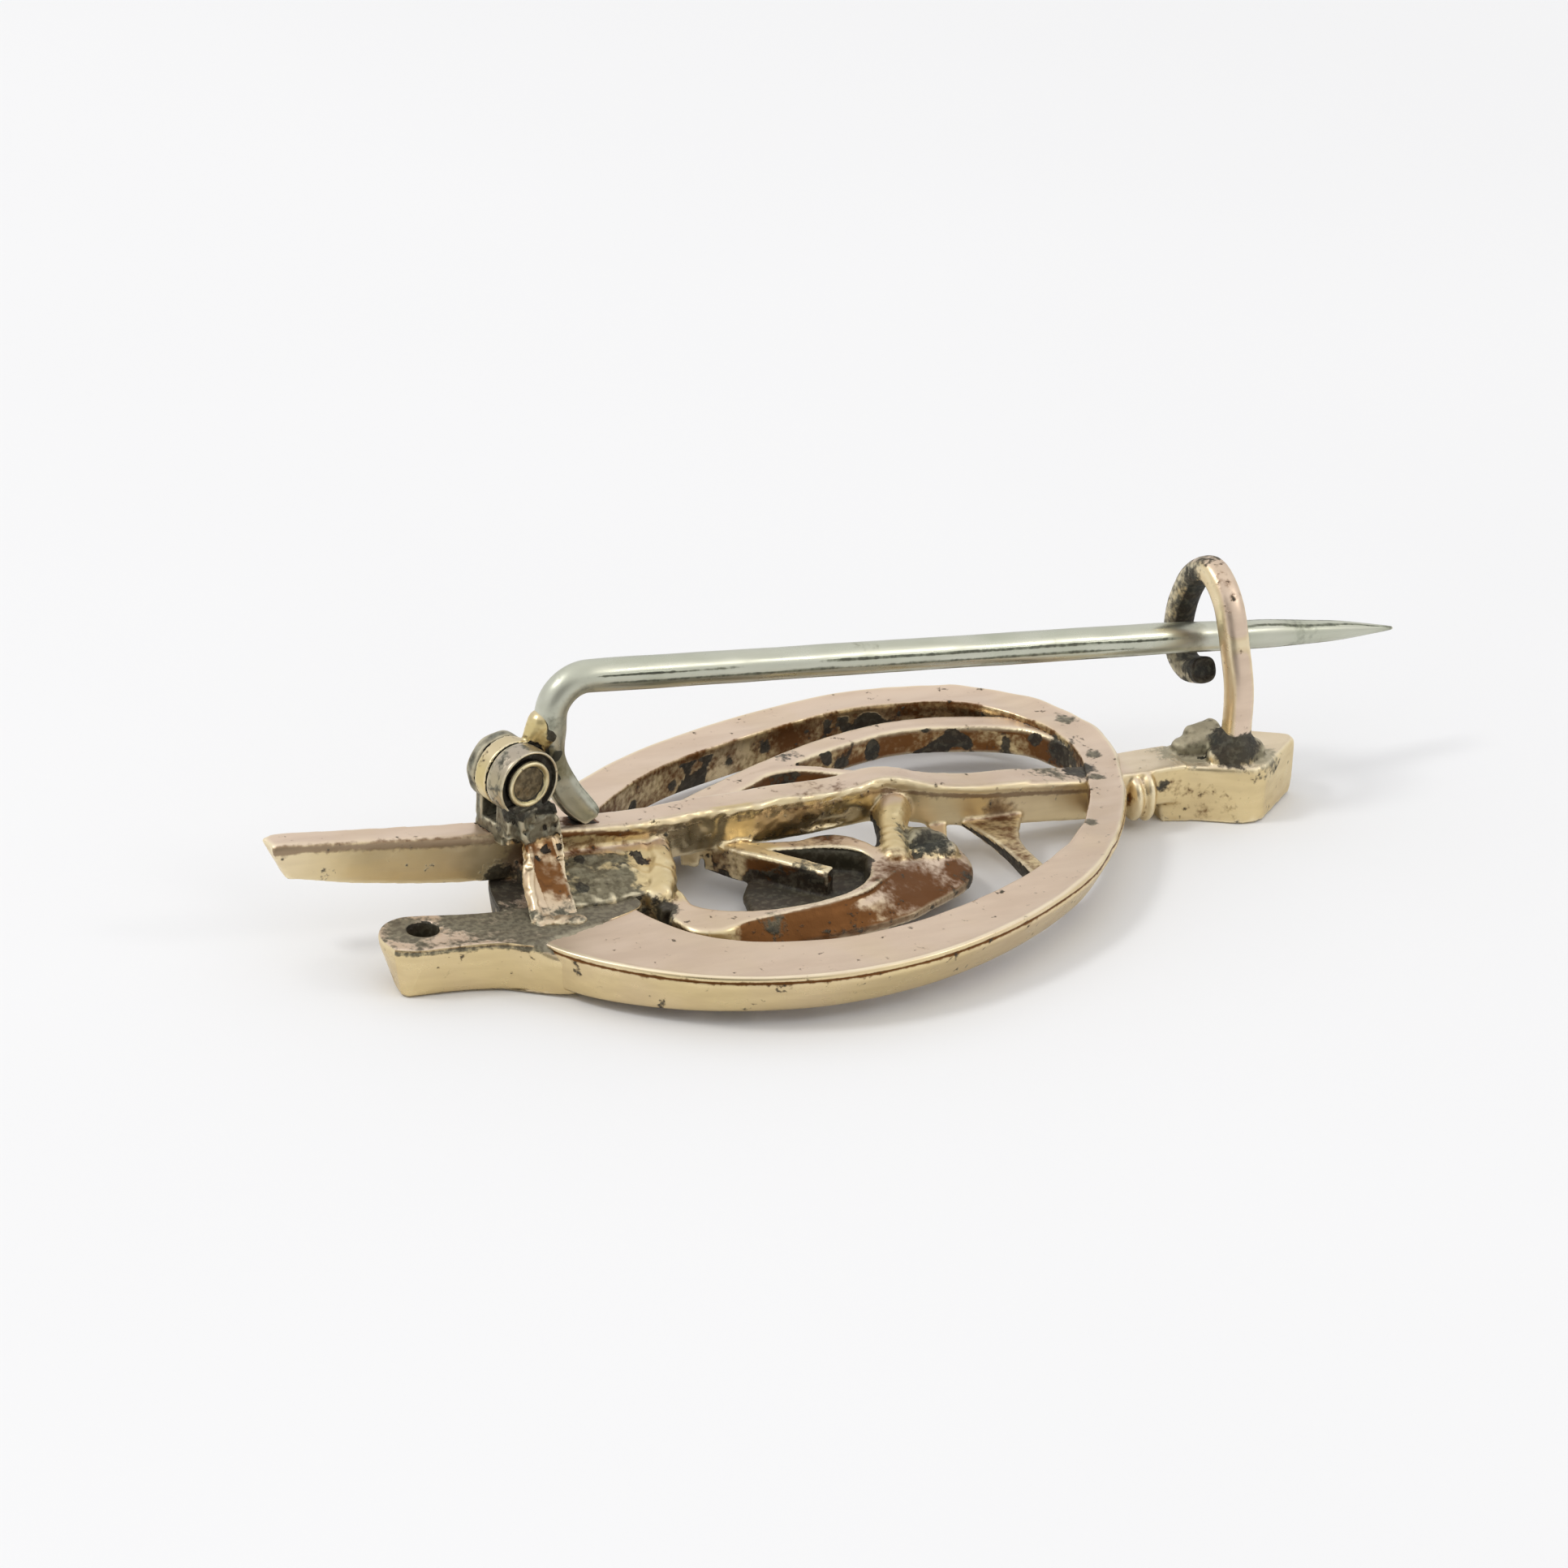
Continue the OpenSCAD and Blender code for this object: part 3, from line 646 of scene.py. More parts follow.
class TarnishGroup:
    """Shared effect: brown, grey and black tarnish that creeps in with a broken edge; the black
    also carries painted shade, the bright colour painted highlights.
    """

    name: str = "creeping tarnish"
    layers: tuple[str, ...] = ("Patina_and_shade", "Surface")
    # the soot tone is the black of soot and of painted shade; the bright tone is the colour of
    # painted highlights and worn polish
    tones: tuple[str, ...] = ("Clean", "Polished", "Brown", "Grey", "Soot_and_shade", "Bright")
    outputs: tuple[tuple[str, str], ...] = (
        ("Colour", "Color"), ("Roughness", "Float"), ("Metal", "Float"), ("Height", "Float"),
    )
    # for grey, brown and soot with its painted shade: where a mask starts, where it is full, how
    # ragged its edge is
    masks: Rows = (
        (0.30, 0.62, 1.5), (0.26, 0.80, 1.6), (0.32, 0.58, 1.4),
    )
    # how much of each stain's colour covers the metal
    cover: tuple[float, float, float] = (0.9, 0.97, 0.95)
    # what brown, grey and soot add to the roughness
    rough_stains: tuple[float, float, float] = (0.10, 0.16, 0.22)
    roughness: float = 0.36
    gloss: float = -0.12
    streaked: float = 0.10
    uneven: float = 0.22
    # what a satin metal loses of its reflection where it isn't glossy
    satin: float = 0.20

    def tree(self) -> bpy.types.NodeTree:
        """Returns the group, built on the first call."""
        found = bpy.data.node_groups.get(self.name)
        return found or self.build()

    def build(self) -> bpy.types.NodeTree:
        """Builds the group and returns it."""
        tree = bpy.data.node_groups.new(self.name, "ShaderNodeTree")
        for label in (*self.layers, *self.tones):
            tree.interface.new_socket(label, in_out="INPUT", socket_type="NodeSocketColor")
        tree.interface.new_socket("Broken", in_out="INPUT", socket_type="NodeSocketFloat")
        for label, kind in self.outputs:
            tree.interface.new_socket(label, in_out="OUTPUT", socket_type="NodeSocket" + kind)
        w = Wiring(tree)
        given = tree.nodes.new("NodeGroupInput").outputs
        out = tree.nodes.new("NodeGroupOutput").inputs
        split = w.node("SeparateColor")
        w.join(given["Patina_and_shade"], split.inputs[0])
        kind = w.node("SeparateColor")
        w.join(given["Surface"], kind.inputs[0])
        bright, pink, gloss = kind.outputs
        coarse, fine = w.grain(0.55, 6), w.grain(0.16, 4)
        drift = w.grain(2.4, 3)
        broken = w.plus(w.times(coarse, 0.9), w.times(fine, 0.8))
        edge = w.times(w.less(broken, 0.85), given["Broken"])
        masks = []
        for stain, (low, high, ragged) in zip(split.outputs, self.masks):
            # ragged at a stain's edge, whole inside it
            loose = w.less(1.12, w.times(stain, 0.92))
            ragged_edge = w.times(w.times(edge, loose), ragged)
            masks.append(w.step(w.plus(stain, ragged_edge), low, high))
        grey, brown, soot_and_shade = masks
        # clean metal drifts between its two tones; the pink channel, partly a painted reflection,
        # leans it to the pinker clean tone
        hue = w.plus(pink, w.times(w.less(drift, 0.5), 0.9))
        colour = w.mix(w.times(hue, 1.0, clamp=True), given["Polished"], given["Clean"])
        colour = w.mix(w.times(brown, self.cover[1]), colour, given["Brown"])
        speck = w.step(fine, 0.40, 0.62)
        speckled = w.mix(w.times(speck, 0.55), given["Grey"], given["Soot_and_shade"])
        colour = w.mix(w.times(grey, self.cover[0]), colour, speckled)
        caked = w.mix(w.times(w.step(fine, 0.46, 0.66), 0.28), given["Soot_and_shade"], given["Grey"])
        colour = w.mix(w.times(soot_and_shade, self.cover[2]), colour, caked)
        worn = w.grain(0.30, 5, (0.14, 0.5, 1.0))
        scratched = w.step(worn, 0.30, 0.72)
        colour = w.mix(w.times(scratched, 0.22), colour, w.mix(0.5, colour, given["Brown"]))
        # painted highlights and worn polish: the bright channel mixes in the bright colour, kept
        # off soot and painted shade
        shine = w.times(bright, w.less(1.0, soot_and_shade), clamp=True)
        w.join(w.mix(w.times(shine, 0.8), colour, given["Bright"]), out["Colour"])
        rough = w.plus(self.roughness, w.times(gloss, self.gloss))
        rough = w.plus(rough, w.times(scratched, self.streaked))
        rough = w.plus(rough, w.times(w.less(coarse, 0.5), self.uneven))
        for mask, more in zip((brown, grey, soot_and_shade), self.rough_stains):
            rough = w.plus(rough, w.times(mask, more))
        w.join(w.math("MAXIMUM", rough, 0.08), out["Roughness"])
        metal = w.less(1.0, w.times(soot_and_shade, 0.75))
        metal = w.less(metal, w.times(grey, 0.25))
        metal = w.less(metal, w.less(self.satin, w.times(gloss, self.satin)), clamp=True)
        w.join(metal, out["Metal"])
        deep = w.plus(0.12, w.times(w.plus(grey, soot_and_shade), 0.9))
        deep = w.plus(deep, w.times(brown, 0.45))
        w.join(w.times(w.plus(coarse, w.times(fine, 0.6)), deep), out["Height"])
        return tree


@dataclass(frozen=True)
class TarnishedMetal:
    """A metal whose patina and surface colours are painted on its vertices."""

    name: str
    clean: str
    polished: str
    brown: str = "5a3a1c"
    grey: str = "7d7c6e"
    # the black of soot and painted shade, then the colour of painted highlights and worn polish
    soot_and_shade: str = "15170f"
    bright: str = "fff3d2"
    bump: float = 0.00002
    broken: float = 1.0

    def material(self) -> bpy.types.Material:
        """Returns the material, built on the first call."""
        found = bpy.data.materials.get(self.name)
        if found:
            return found
        material = bpy.data.materials.new(self.name)
        material.use_nodes = True
        tree = material.node_tree
        w = Wiring(tree)
        shader = tree.nodes["Principled BSDF"]
        group = w.node("Group", node_tree=TarnishGroup().tree())
        for label in TarnishGroup.layers:
            layer = w.node("Attribute", attribute_name=label.lower())
            w.join(layer.outputs["Color"], group.inputs[label])
        for label in TarnishGroup.tones:
            group.inputs[label].default_value = tone(getattr(self, label.lower()))
        group.inputs["Broken"].default_value = self.broken
        w.join(group.outputs["Colour"], shader.inputs["Base Color"])
        w.join(group.outputs["Roughness"], shader.inputs["Roughness"])
        w.join(group.outputs["Metal"], shader.inputs["Metallic"])
        bump = w.node("Bump")
        bump.inputs["Strength"].default_value = 1.0
        bump.inputs["Distance"].default_value = self.bump
        w.join(group.outputs["Height"], bump.inputs["Height"])
        w.join(bump.outputs[0], shader.inputs["Normal"])
        return material


@dataclass(frozen=True)
class PearlLustre:
    """Creamy nacre with a soft drift of pink and green and a clear coat."""

    name: str = "seed pearl"
    cream: str = "efe6d6"
    blush: str = "e9d3cb"
    cool: str = "d9dfd2"

    def material(self) -> bpy.types.Material:
        """Returns the material."""
        material = bpy.data.materials.new(self.name)
        material.use_nodes = True
        w = Wiring(material.node_tree)
        shader = material.node_tree.nodes["Principled BSDF"]
        warm = w.step(w.grain(1.6, 2), 0.40, 0.65)
        cold = w.step(w.grain(0.9, 3), 0.50, 0.70)
        colour = w.mix(warm, tone(self.cream), tone(self.blush))
        colour = w.mix(w.times(cold, 0.6), colour, tone(self.cool))
        w.join(colour, shader.inputs["Base Color"])
        rough = w.plus(0.18, w.times(w.grain(0.2, 3), 0.14))
        w.join(rough, shader.inputs["Roughness"])
        shader.inputs["Coat Weight"].default_value = 0.6
        shader.inputs["Subsurface Weight"].default_value = 0.15
        shader.inputs["Subsurface Scale"].default_value = 0.0004
        bump = w.node("Bump")
        bump.inputs["Distance"].default_value = 0.000006
        w.join(w.grain(0.3, 3), bump.inputs["Height"])
        w.join(bump.outputs[0], shader.inputs["Normal"])
        return material


GOLD = TarnishedMetal("old rose gold", clean="e0cab4", polished="e3ce9e", brown="6a4019",
                      grey="7d7a66")
HINGE = TarnishedMetal("tarnished hinge metal", clean="b7aba0", polished="b8ad8c", brown="5f3a20",
                       grey="7b7d6e")
STRAP = TarnishedMetal("pitted rose strap", clean="dfccb4", polished="cfb07a", brown="774c24",
                       grey="7b7d6e")
WIRE = TarnishedMetal("grey pin wire", clean="b9bca9", polished="d0d0c2", brown="86805f",
                      grey="7f8370", bright="fffce8", bump=0.000006, broken=0.35)
RIVET = TarnishedMetal("worn rivet", clean="cdbd8a", polished="e6d9ab", grey="85795e")
KNUCKLE = TarnishedMetal("creamy knuckle metal", clean="d6c6a6", polished="e0cd8f")
PEARL = PearlLustre()


# The gold frame

# Where the stains on the gold sit: x, y, z, how wide each is and how strong
BLOTS: dict[Stain, Rows] = {
    Stain.GREY: (
        (-14.9, -2.7, 1.63, 1.5, 0.75), (-13.2, -2.8, 1.63, 1.5, 0.8),
        (-12.0, -2.9, 1.63, 1.2, 0.9), (-10.6, -3.6, 1.65, 0.7, 0.8),
        (-9.4, -2.6, 1.80, 1.0, 1.0), (-8.6, -2.2, 1.77, 0.8, 0.9), (-5.0, -4.9, 1.3, 0.8, 0.5),
        (1.1, -1.9, 1.45, 1.25, 1.1), (6.0, 0.3, 1.6, 1.1, 0.5), (7.81, 1.08, 1.65, 0.36, 0.95),
        (7.20, -0.30, 1.65, 0.36, 0.95), (5.75, -2.86, 1.65, 0.45, 0.75),
        (7.96, 3.47, 1.65, 0.6, 0.7), (10.1, 0.6, 1.53, 1.2, 0.62), (11.0, 0.6, 1.95, 1.5, 1.3),
        (12.3, -0.2, 1.6, 1.2, 0.95),
    ),
    Stain.BROWN: (
        (-10.9, -0.75, 2.2, 1.0, 0.85), (-9.0, -0.7, 2.0, 1.3, 0.6), (-1.6, -0.3, 1.4, 1.9, 0.75),
        (-4.6, -1.3, 1.2, 1.3, 0.7), (-0.2, -4.0, 1.0, 2.4, 0.85), (-3.5, -5.0, 1.1, 1.6, 0.5),
        (1.4, -3.2, 0.8, 1.0, 0.9), (4.1, -0.5, 1.0, 0.9, 0.7), (3.4, -2.6, 1.0, 1.3, 0.6),
        (9.8, -0.5, 0.9, 0.9, 0.42), (10.9, -0.8, 0.0, 1.0, 0.40),
    ),
    Stain.SOOT_AND_SHADE: (
        (-14.5, -2.8, 1.0, 0.55, 1.0), (-12.3, -1.9, 1.55, 0.9, 0.75),
        (-11.6, -1.2, 1.5, 1.2, 1.0), (-8.4, -1.7, 1.85, 0.35, 1.0),
        (-7.7, -3.6, 1.30, 0.75, 0.9), (-1.5, -0.25, 1.45, 0.8, 1.0),
        (-2.9, -2.5, 0.8, 1.1, 0.95), (-1.9, -2.4, 0.7, 1.3, 1.0), (1.0, -2.2, 1.3, 0.95, 0.75),
        (1.5, -3.3, 0.55, 0.6, 0.7), (6.9, 0.3, 1.5, 0.8, 0.9), (7.3, 2.2, 1.1, 0.9, 0.8),
        (11.6, -0.35, 2.0, 1.10, 1.2), (11.3, -0.2, 2.1, 0.6, 1.0), (11.2, 0.9, 1.7, 0.7, 0.85),
        (9.35, -0.25, 1.0, 0.35, 0.7), (-3.9, 4.6, 0.8, 0.35, 1.0), (-2.9, 4.9, 0.8, 0.30, 1.0),
        (-1.9, 5.2, 0.9, 0.35, 1.0), (-0.6, 5.6, 1.0, 0.32, 1.0), (0.9, 5.9, 1.1, 0.25, 0.9),
        (-5.6, 3.9, 0.8, 0.35, 0.9), (-7.0, 3.0, 0.8, 0.35, 0.9), (-0.5, 4.3, 0.8, 0.9, 1.0),
        (1.2, 4.6, 0.8, 0.5, 0.9), (2.4, 4.75, 0.8, 0.4, 0.9),
    ),
}


@dataclass
class CrescentBand:
    """Oval crescent band: dished back with a bead at its rim that carries a painted highlight, and
    a channel in front.
    """

    back: float = 1.65
    front: float = 0.45
    lowest: float = 0.12
    fall: float = 0.055
    centre: tuple[float, float] = (-1.2, -0.7)
    stations: int = 216
    inner_draft: float = 0.10
    channel_rim: float = 0.10
    play: float = 0.03
    pearl_sizes: tuple[float, float] = (0.55, 1.7)
    pearl_height: float = 1.0
    proud: float = 0.1
    # middle and width of the brown line under the rim and of the painted highlight along the bead;
    # how far both reach
    line: tuple[float, float] = (0.19, 0.055)
    shine: tuple[float, float] = (0.085, 0.055)
    rim_share: float = 0.12
    # pits in the inner wall to a turn
    pit_rate: float = 7.5
    # outer radius, width, inset of the outer foot at every 20 degrees
    rows: Rows = (
        (9.10, 1.20, 0.25), (10.45, 1.30, 0.20), (10.65, 1.35, 0.20), (9.25, 1.28, 0.20),
        (7.90, 1.30, 0.20), (7.27, 1.25, 0.20), (7.30, 1.25, 0.20), (7.80, 1.40, 0.20),
        (9.00, 1.95, 0.20), (10.60, 3.20, 0.15), (11.20, 3.30, 0.15), (10.45, 2.55, 0.25),
        (9.37, 2.25, 0.35), (8.35, 2.05, 0.42), (7.63, 1.85, 0.42), (7.37, 1.64, 0.42),
        (7.57, 1.47, 0.42), (8.10, 1.20, 0.35),
    )
    # the section's back beside its rim: way in from the rim, drop
    bead: Rows = (
        (0.000, 0.34), (-0.005, 0.235), (0.030, 0.205), (0.030, 0.175), (0.002, 0.145),
        (0.005, 0.085), (0.035, 0.030), (0.090, 0.004), (0.150, 0.010), (0.200, 0.030),
        (0.250, 0.040),
    )
    # the channel's lip: way out and up; what is free over a pearl; the foot's edge: way in and up
    channel_lip: tuple[float, float] = (0.02, 0.03)
    roof_play: float = 0.04
    foot_edge: tuple[float, float] = (0.06, 0.05)
    # the outer wall: share of the inset, share of the height
    outer_wall: Rows = ((0.62, 0.32), (0.24, 0.58))
    # the dish: share of the width, drop; then the inner edge: way from it, drop
    dish: tuple[float, float] = (0.5, 0.065)
    inner_edge: Rows = (
        (0.22, 0.035), (0.11, 0.015), (0.035, 0.03), (0.0, 0.10),
    )
    # angle where the tab joins, how wide that is, and how far the bead is sunk there
    joint: tuple[float, float, float] = (182, 24, 0.10)

    def size(self, angle: float) -> np.ndarray:
        """Returns outer radius, width and inset at an angle in degrees."""
        count = len(self.rows)
        spot = angle / 360 * count
        i, t = int(math.floor(spot)), spot - math.floor(spot)
        a, b, c, d = (np.array(self.rows[(i + k) % count]) for k in (-1, 0, 1, 2))
        cubic = (2 * a - 5 * b + 4 * c - d) * t * t + (3 * b - a - 3 * c + d) * t**3
        return 0.5 * (2 * b + (c - a) * t + cubic)

    def ring(self, angle: float) -> Ring:
        """Returns the section at an angle in degrees."""
        outer, width, inset = self.size(angle)
        way = Vector((math.cos(math.radians(angle)), math.sin(math.radians(angle)), 0))
        hub = Vector((*self.centre, 0))
        foot_out, foot_in = outer - inset, outer - width + self.inner_draft
        middle = (foot_out + foot_in) / 2
        left = (hub + way * middle).x
        front = max(self.lowest, self.front - self.fall * max(0.0, -7 - left))
        room = foot_out - foot_in - 2 * self.channel_rim
        pearl = max(self.pearl_sizes[0], min(self.pearl_sizes[1], room - 2 * self.play))
        half = pearl / 2 + self.play
        roof = front - self.proud + min(pearl, self.pearl_height) + self.roof_play
        tall = self.back - front
        inner = outer - width
        lip, step = self.channel_lip
        edge, rise = self.foot_edge
        profile = [
            (foot_in, front), (middle - half - lip, front), (middle - half, front + step),
            (middle - half, roof), (middle + half, roof), (middle + half, front + step),
            (middle + half + lip, front), (foot_out - edge, front), (foot_out, front + rise),
        ]
        profile += [(outer - share * inset, front + high * tall) for share, high in self.outer_wall]
        where, wide, sunk = self.joint
        merged = sunk * math.exp(-((angle % 360 - where) / wide) ** 4)
        profile += [(outer - way_in, self.back - max(drop, merged)) for way_in, drop in self.bead]
        profile.append((outer - self.dish[0] * width, self.back - self.dish[1]))
        profile += [(inner + way_in, self.back - drop) for way_in, drop in self.inner_edge]
        profile += [(inner + 0.02, self.back - 0.4 * tall), (inner + 0.07, front + 0.25 * tall),
                    (inner + self.inner_draft, front + 0.04)]
        return [hub + way * r + Vector((0, 0, z)) for r, z in profile]

    def make(self) -> Piece:
        """Builds the band."""
        bm = bmesh.new()
        angles = [360 * k / self.stations for k in range(self.stations)]
        Skin(bm).grow([self.ring(a) for a in angles], closed=True)
        piece = Piece("crescent_band", bm)
        piece.swell(self.wear)
        return piece.refine()

    def wear(self, places: np.ndarray, normals: np.ndarray) -> np.ndarray:
        """Small dents, deeper towards the band's right end."""
        right = ease(places[:, 0], 1.5, 7.0)
        rim = ease(places[:, 2], self.back - 0.4, self.back - 0.05)
        fine = ripple(places, 0.60, 1) * (0.010 + 0.055 * right)
        broad = ripple(places, 1.7, 2) * (0.012 + 0.05 * right)
        return (fine + broad) * (0.35 + 0.65 * rim) - 0.02 * right * rim

    def dress(self, piece: Piece, patina_and_shade: Patina_and_shade) -> None:
        """Paints tarnish, painted shade with tarnish in the corners, a painted highlight along the
        bead, the brown line under it, and pink backs that are partly a painted reflection.
        """
        paint = Paint(piece, patina_and_shade)
        flat = paint.places[:, :2] - np.array(self.centre)
        angle = np.degrees(np.arctan2(flat[:, 1], flat[:, 0])) % 360
        sizes = np.array([self.size(k) for k in range(361)])
        outer, width = (np.interp(angle, np.arange(361), sizes[:, k]) for k in (0, 1))
        reach = lengths(flat)
        way_in, drop = outer - reach, self.back - paint.places[:, 2]
        line = streak(drop, *self.line) * (way_in < self.rim_share)
        bead = streak(way_in, *self.shine) * (drop < self.rim_share)
        inward = -(paint.normals[:, :2] * flat / reach[:, None]).sum(1)
        inside = ease(inward, 0.35, 0.75) * (way_in > 0.6 * width)
        back = paint.facing(Side.UP, 0.55, 0.85)
        row = np.sin(np.radians(angle * self.pit_rate))
        pits = ease(row + 0.8 * paint.ripple(0.5, 15), 0.55, 1.0) * (drop > 0.25) * (flat[:, 1] > 0)
        paint.add(Stain.BROWN, 0.9 * line + inside * (0.58 + 0.30 * paint.ripple(1.1, 5)))
        paint.add(Stain.SOOT_AND_SHADE, 0.8 * inside * pits)
        # painted shade in the corners, with tarnish
        paint.corners(Stain.BROWN, 0.75, low=0.50, high=0.95)
        paint.corners(Stain.SOOT_AND_SHADE, 0.3 + 0.7 * inside, low=0.72, high=1.0)
        # painted highlight along the bead; pink on the upward backs, partly a painted reflection
        edge = bead * (0.75 + 0.25 * paint.ripple(0.6, 6))
        paint.finish(edge, pink=0.9 * back + 0.12, gloss=0.75 * (1 - back) + 0.25 * bead)


@dataclass
class Tab:
    """Short plate that runs on past the band's left end, with a small through hole."""

    top: float = 1.66
    bottom: float = 0.13
    hole: tuple[float, float] = (-14.55, -2.80)
    hole_radius: float = 0.42
    turns: int = 72
    # x where the grey by the strap begins and is full; drop and width of the line under the edge
    strap_side: tuple[float, float] = (-13.2, -12.0)
    line: tuple[float, float] = (0.13, 0.06)
    upper: Rows = (
        (-8.5, -2.5), (-10.4, -2.5), (-12.0, -2.55), (-13.4, -2.28), (-14.5, -1.97),
        (-15.0, -1.93), (-15.45, -2.15), (-15.75, -2.55), (-15.82, -3.05), (-15.70, -3.62),
        (-15.66, -3.68), (-15.30, -3.88), (-14.90, -3.97), (-14.82, -3.98), (-14.2, -4.03),
        (-13.4, -4.14), (-12.7, -4.32), (-12.2, -4.60), (-11.85, -4.86), (-11.5, -5.13),
        (-11.1, -5.34), (-10.2, -4.9), (-9.0, -3.8), (-8.2, -3.2),
    )
    # the rest of the back's edge, where solder runs out over the band
    crown: Rows = (
        (-12.3, -4.58), (-11.95, -4.62), (-11.4, -4.40), (-10.8, -4.20), (-10.2, -4.08),
        (-9.2, -3.86), (-8.3, -3.4),
    )
    lower: Rows = (
        (-10.0, -2.8), (-10.8, -2.8), (-12.0, -2.8), (-13.2, -2.5), (-14.2, -2.3),
        (-14.8, -2.3), (-15.15, -2.45), (-15.35, -2.75), (-15.42, -3.10), (-15.44, -3.50),
        (-15.43, -3.56), (-15.36, -3.68), (-15.28, -3.73), (-15.20, -3.75), (-14.4, -3.82),
        (-13.5, -3.94), (-12.7, -4.14), (-12.1, -4.42), (-11.7, -4.72), (-11.3, -5.0),
        (-10.8, -5.1), (-10.4, -4.2), (-10.2, -3.6), (-10.0, -3.2),
    )

    def outline(self, points: Sequence[Point]) -> np.ndarray:
        """Returns the outline refined to an even number of points that match the hole's."""
        loop = through([*points, points[0]], 12)[:-1]
        order = np.linspace(0, len(loop) - 1, self.turns, endpoint=False).astype(int)
        return loop[order]

    def make(self) -> Piece:
        """Builds the plate round its hole."""
        high, low = self.outline(self.upper), self.outline(self.lower)
        crown = self.outline([*self.upper[:-len(self.crown)], *self.crown])
        centre = np.array(self.hole)
        away = high - centre
        away = away / np.linalg.norm(away, axis=1, keepdims=True)
        rim = centre + away * (self.hole_radius + 0.05)
        bore = centre + away * self.hole_radius
        inward = centre - high
        inward = inward / np.linalg.norm(inward, axis=1, keepdims=True)
        steps = (
            (low + inward * 0.05, self.bottom), (low, self.bottom + 0.05),
            (low * 0.75 + high * 0.25, 0.5), (low * 0.3 + high * 0.7, 1.05),
            (high, 1.40), (high * 0.1 + crown * 0.9, self.top - 0.07),
            (crown + inward * 0.02, self.top - 0.02), (crown + inward * 0.07, self.top),
            (crown + inward * 0.16, self.top - 0.01),
            (crown * 0.5 + rim * 0.5, self.top - 0.012), (rim + away * 0.06, self.top),
            (rim, self.top - 0.005), (bore, self.top - 0.06), (bore, self.bottom + 0.06),
            (rim, self.bottom), (low * 0.5 + rim * 0.5, self.bottom),
        )
        bm = bmesh.new()
        Skin(bm).loops(steps, closed=True)
        piece = Piece("left_tab", bm)
        piece.refine()
        return piece.swell(self.grain)

    @staticmethod
    def grain(places: np.ndarray, normals: np.ndarray) -> np.ndarray:
        """Grainy solder beside the strap, slight unevenness elsewhere."""
        solder = ease(places[:, 0], -12.6, -11.6) * facing(normals, Side.UP, 0.4, 0.8)
        rough = 0.030 * ripple(places, 0.30, 4) + 0.020 * ripple(places, 0.14, 41)
        return 0.012 * ripple(places, 0.9, 3) + (0.12 + 0.88 * solder) * rough

    def dress(self, piece: Piece, patina_and_shade: Patina_and_shade) -> None:
        """Paints a grey granular back, painted shade in the hole, a painted highlight along the
        back's rim and clean yellow walls.
        """
        paint = Paint(piece, patina_and_shade)
        x, _, z = paint.places.T
        back, near = paint.facing(Side.UP, 0.45, 0.8), paint.facing(Side.NEAR, 0.2, 0.7)
        drop = self.top - z
        rim = ease(drop, 0.02, 0.06) * ease(drop, 0.20, 0.10)
        strap = ease(x, *self.strap_side)
        paint.thin(Stain.GREY, back)
        paint.add(Stain.GREY, back * (0.40 + 0.34 * strap + 0.22 * paint.ripple(0.5, 9)))
        paint.thin(Stain.BROWN, back)
        paint.add(Stain.BROWN, 0.65 * rim * near)
        # painted shade in the corners, with tarnish
        paint.corners(Stain.BROWN, 0.5, low=0.5, high=0.9)
        paint.add(Stain.GREY, 0.9 * near * streak(drop, *self.line))
        away = lengths(paint.places[:, :2] - np.array(self.hole))
        paint.thin(Stain.SOOT_AND_SHADE, z > 0)
        # the hole's bore painted dark as shade
        paint.add(Stain.SOOT_AND_SHADE, away < self.hole_radius + 0.04)
        # painted highlight along the back's rim; pink on the back, partly a painted reflection
        paint.finish(0.3 * rim * (1 - near), pink=back, gloss=0.8 * (1 - back))


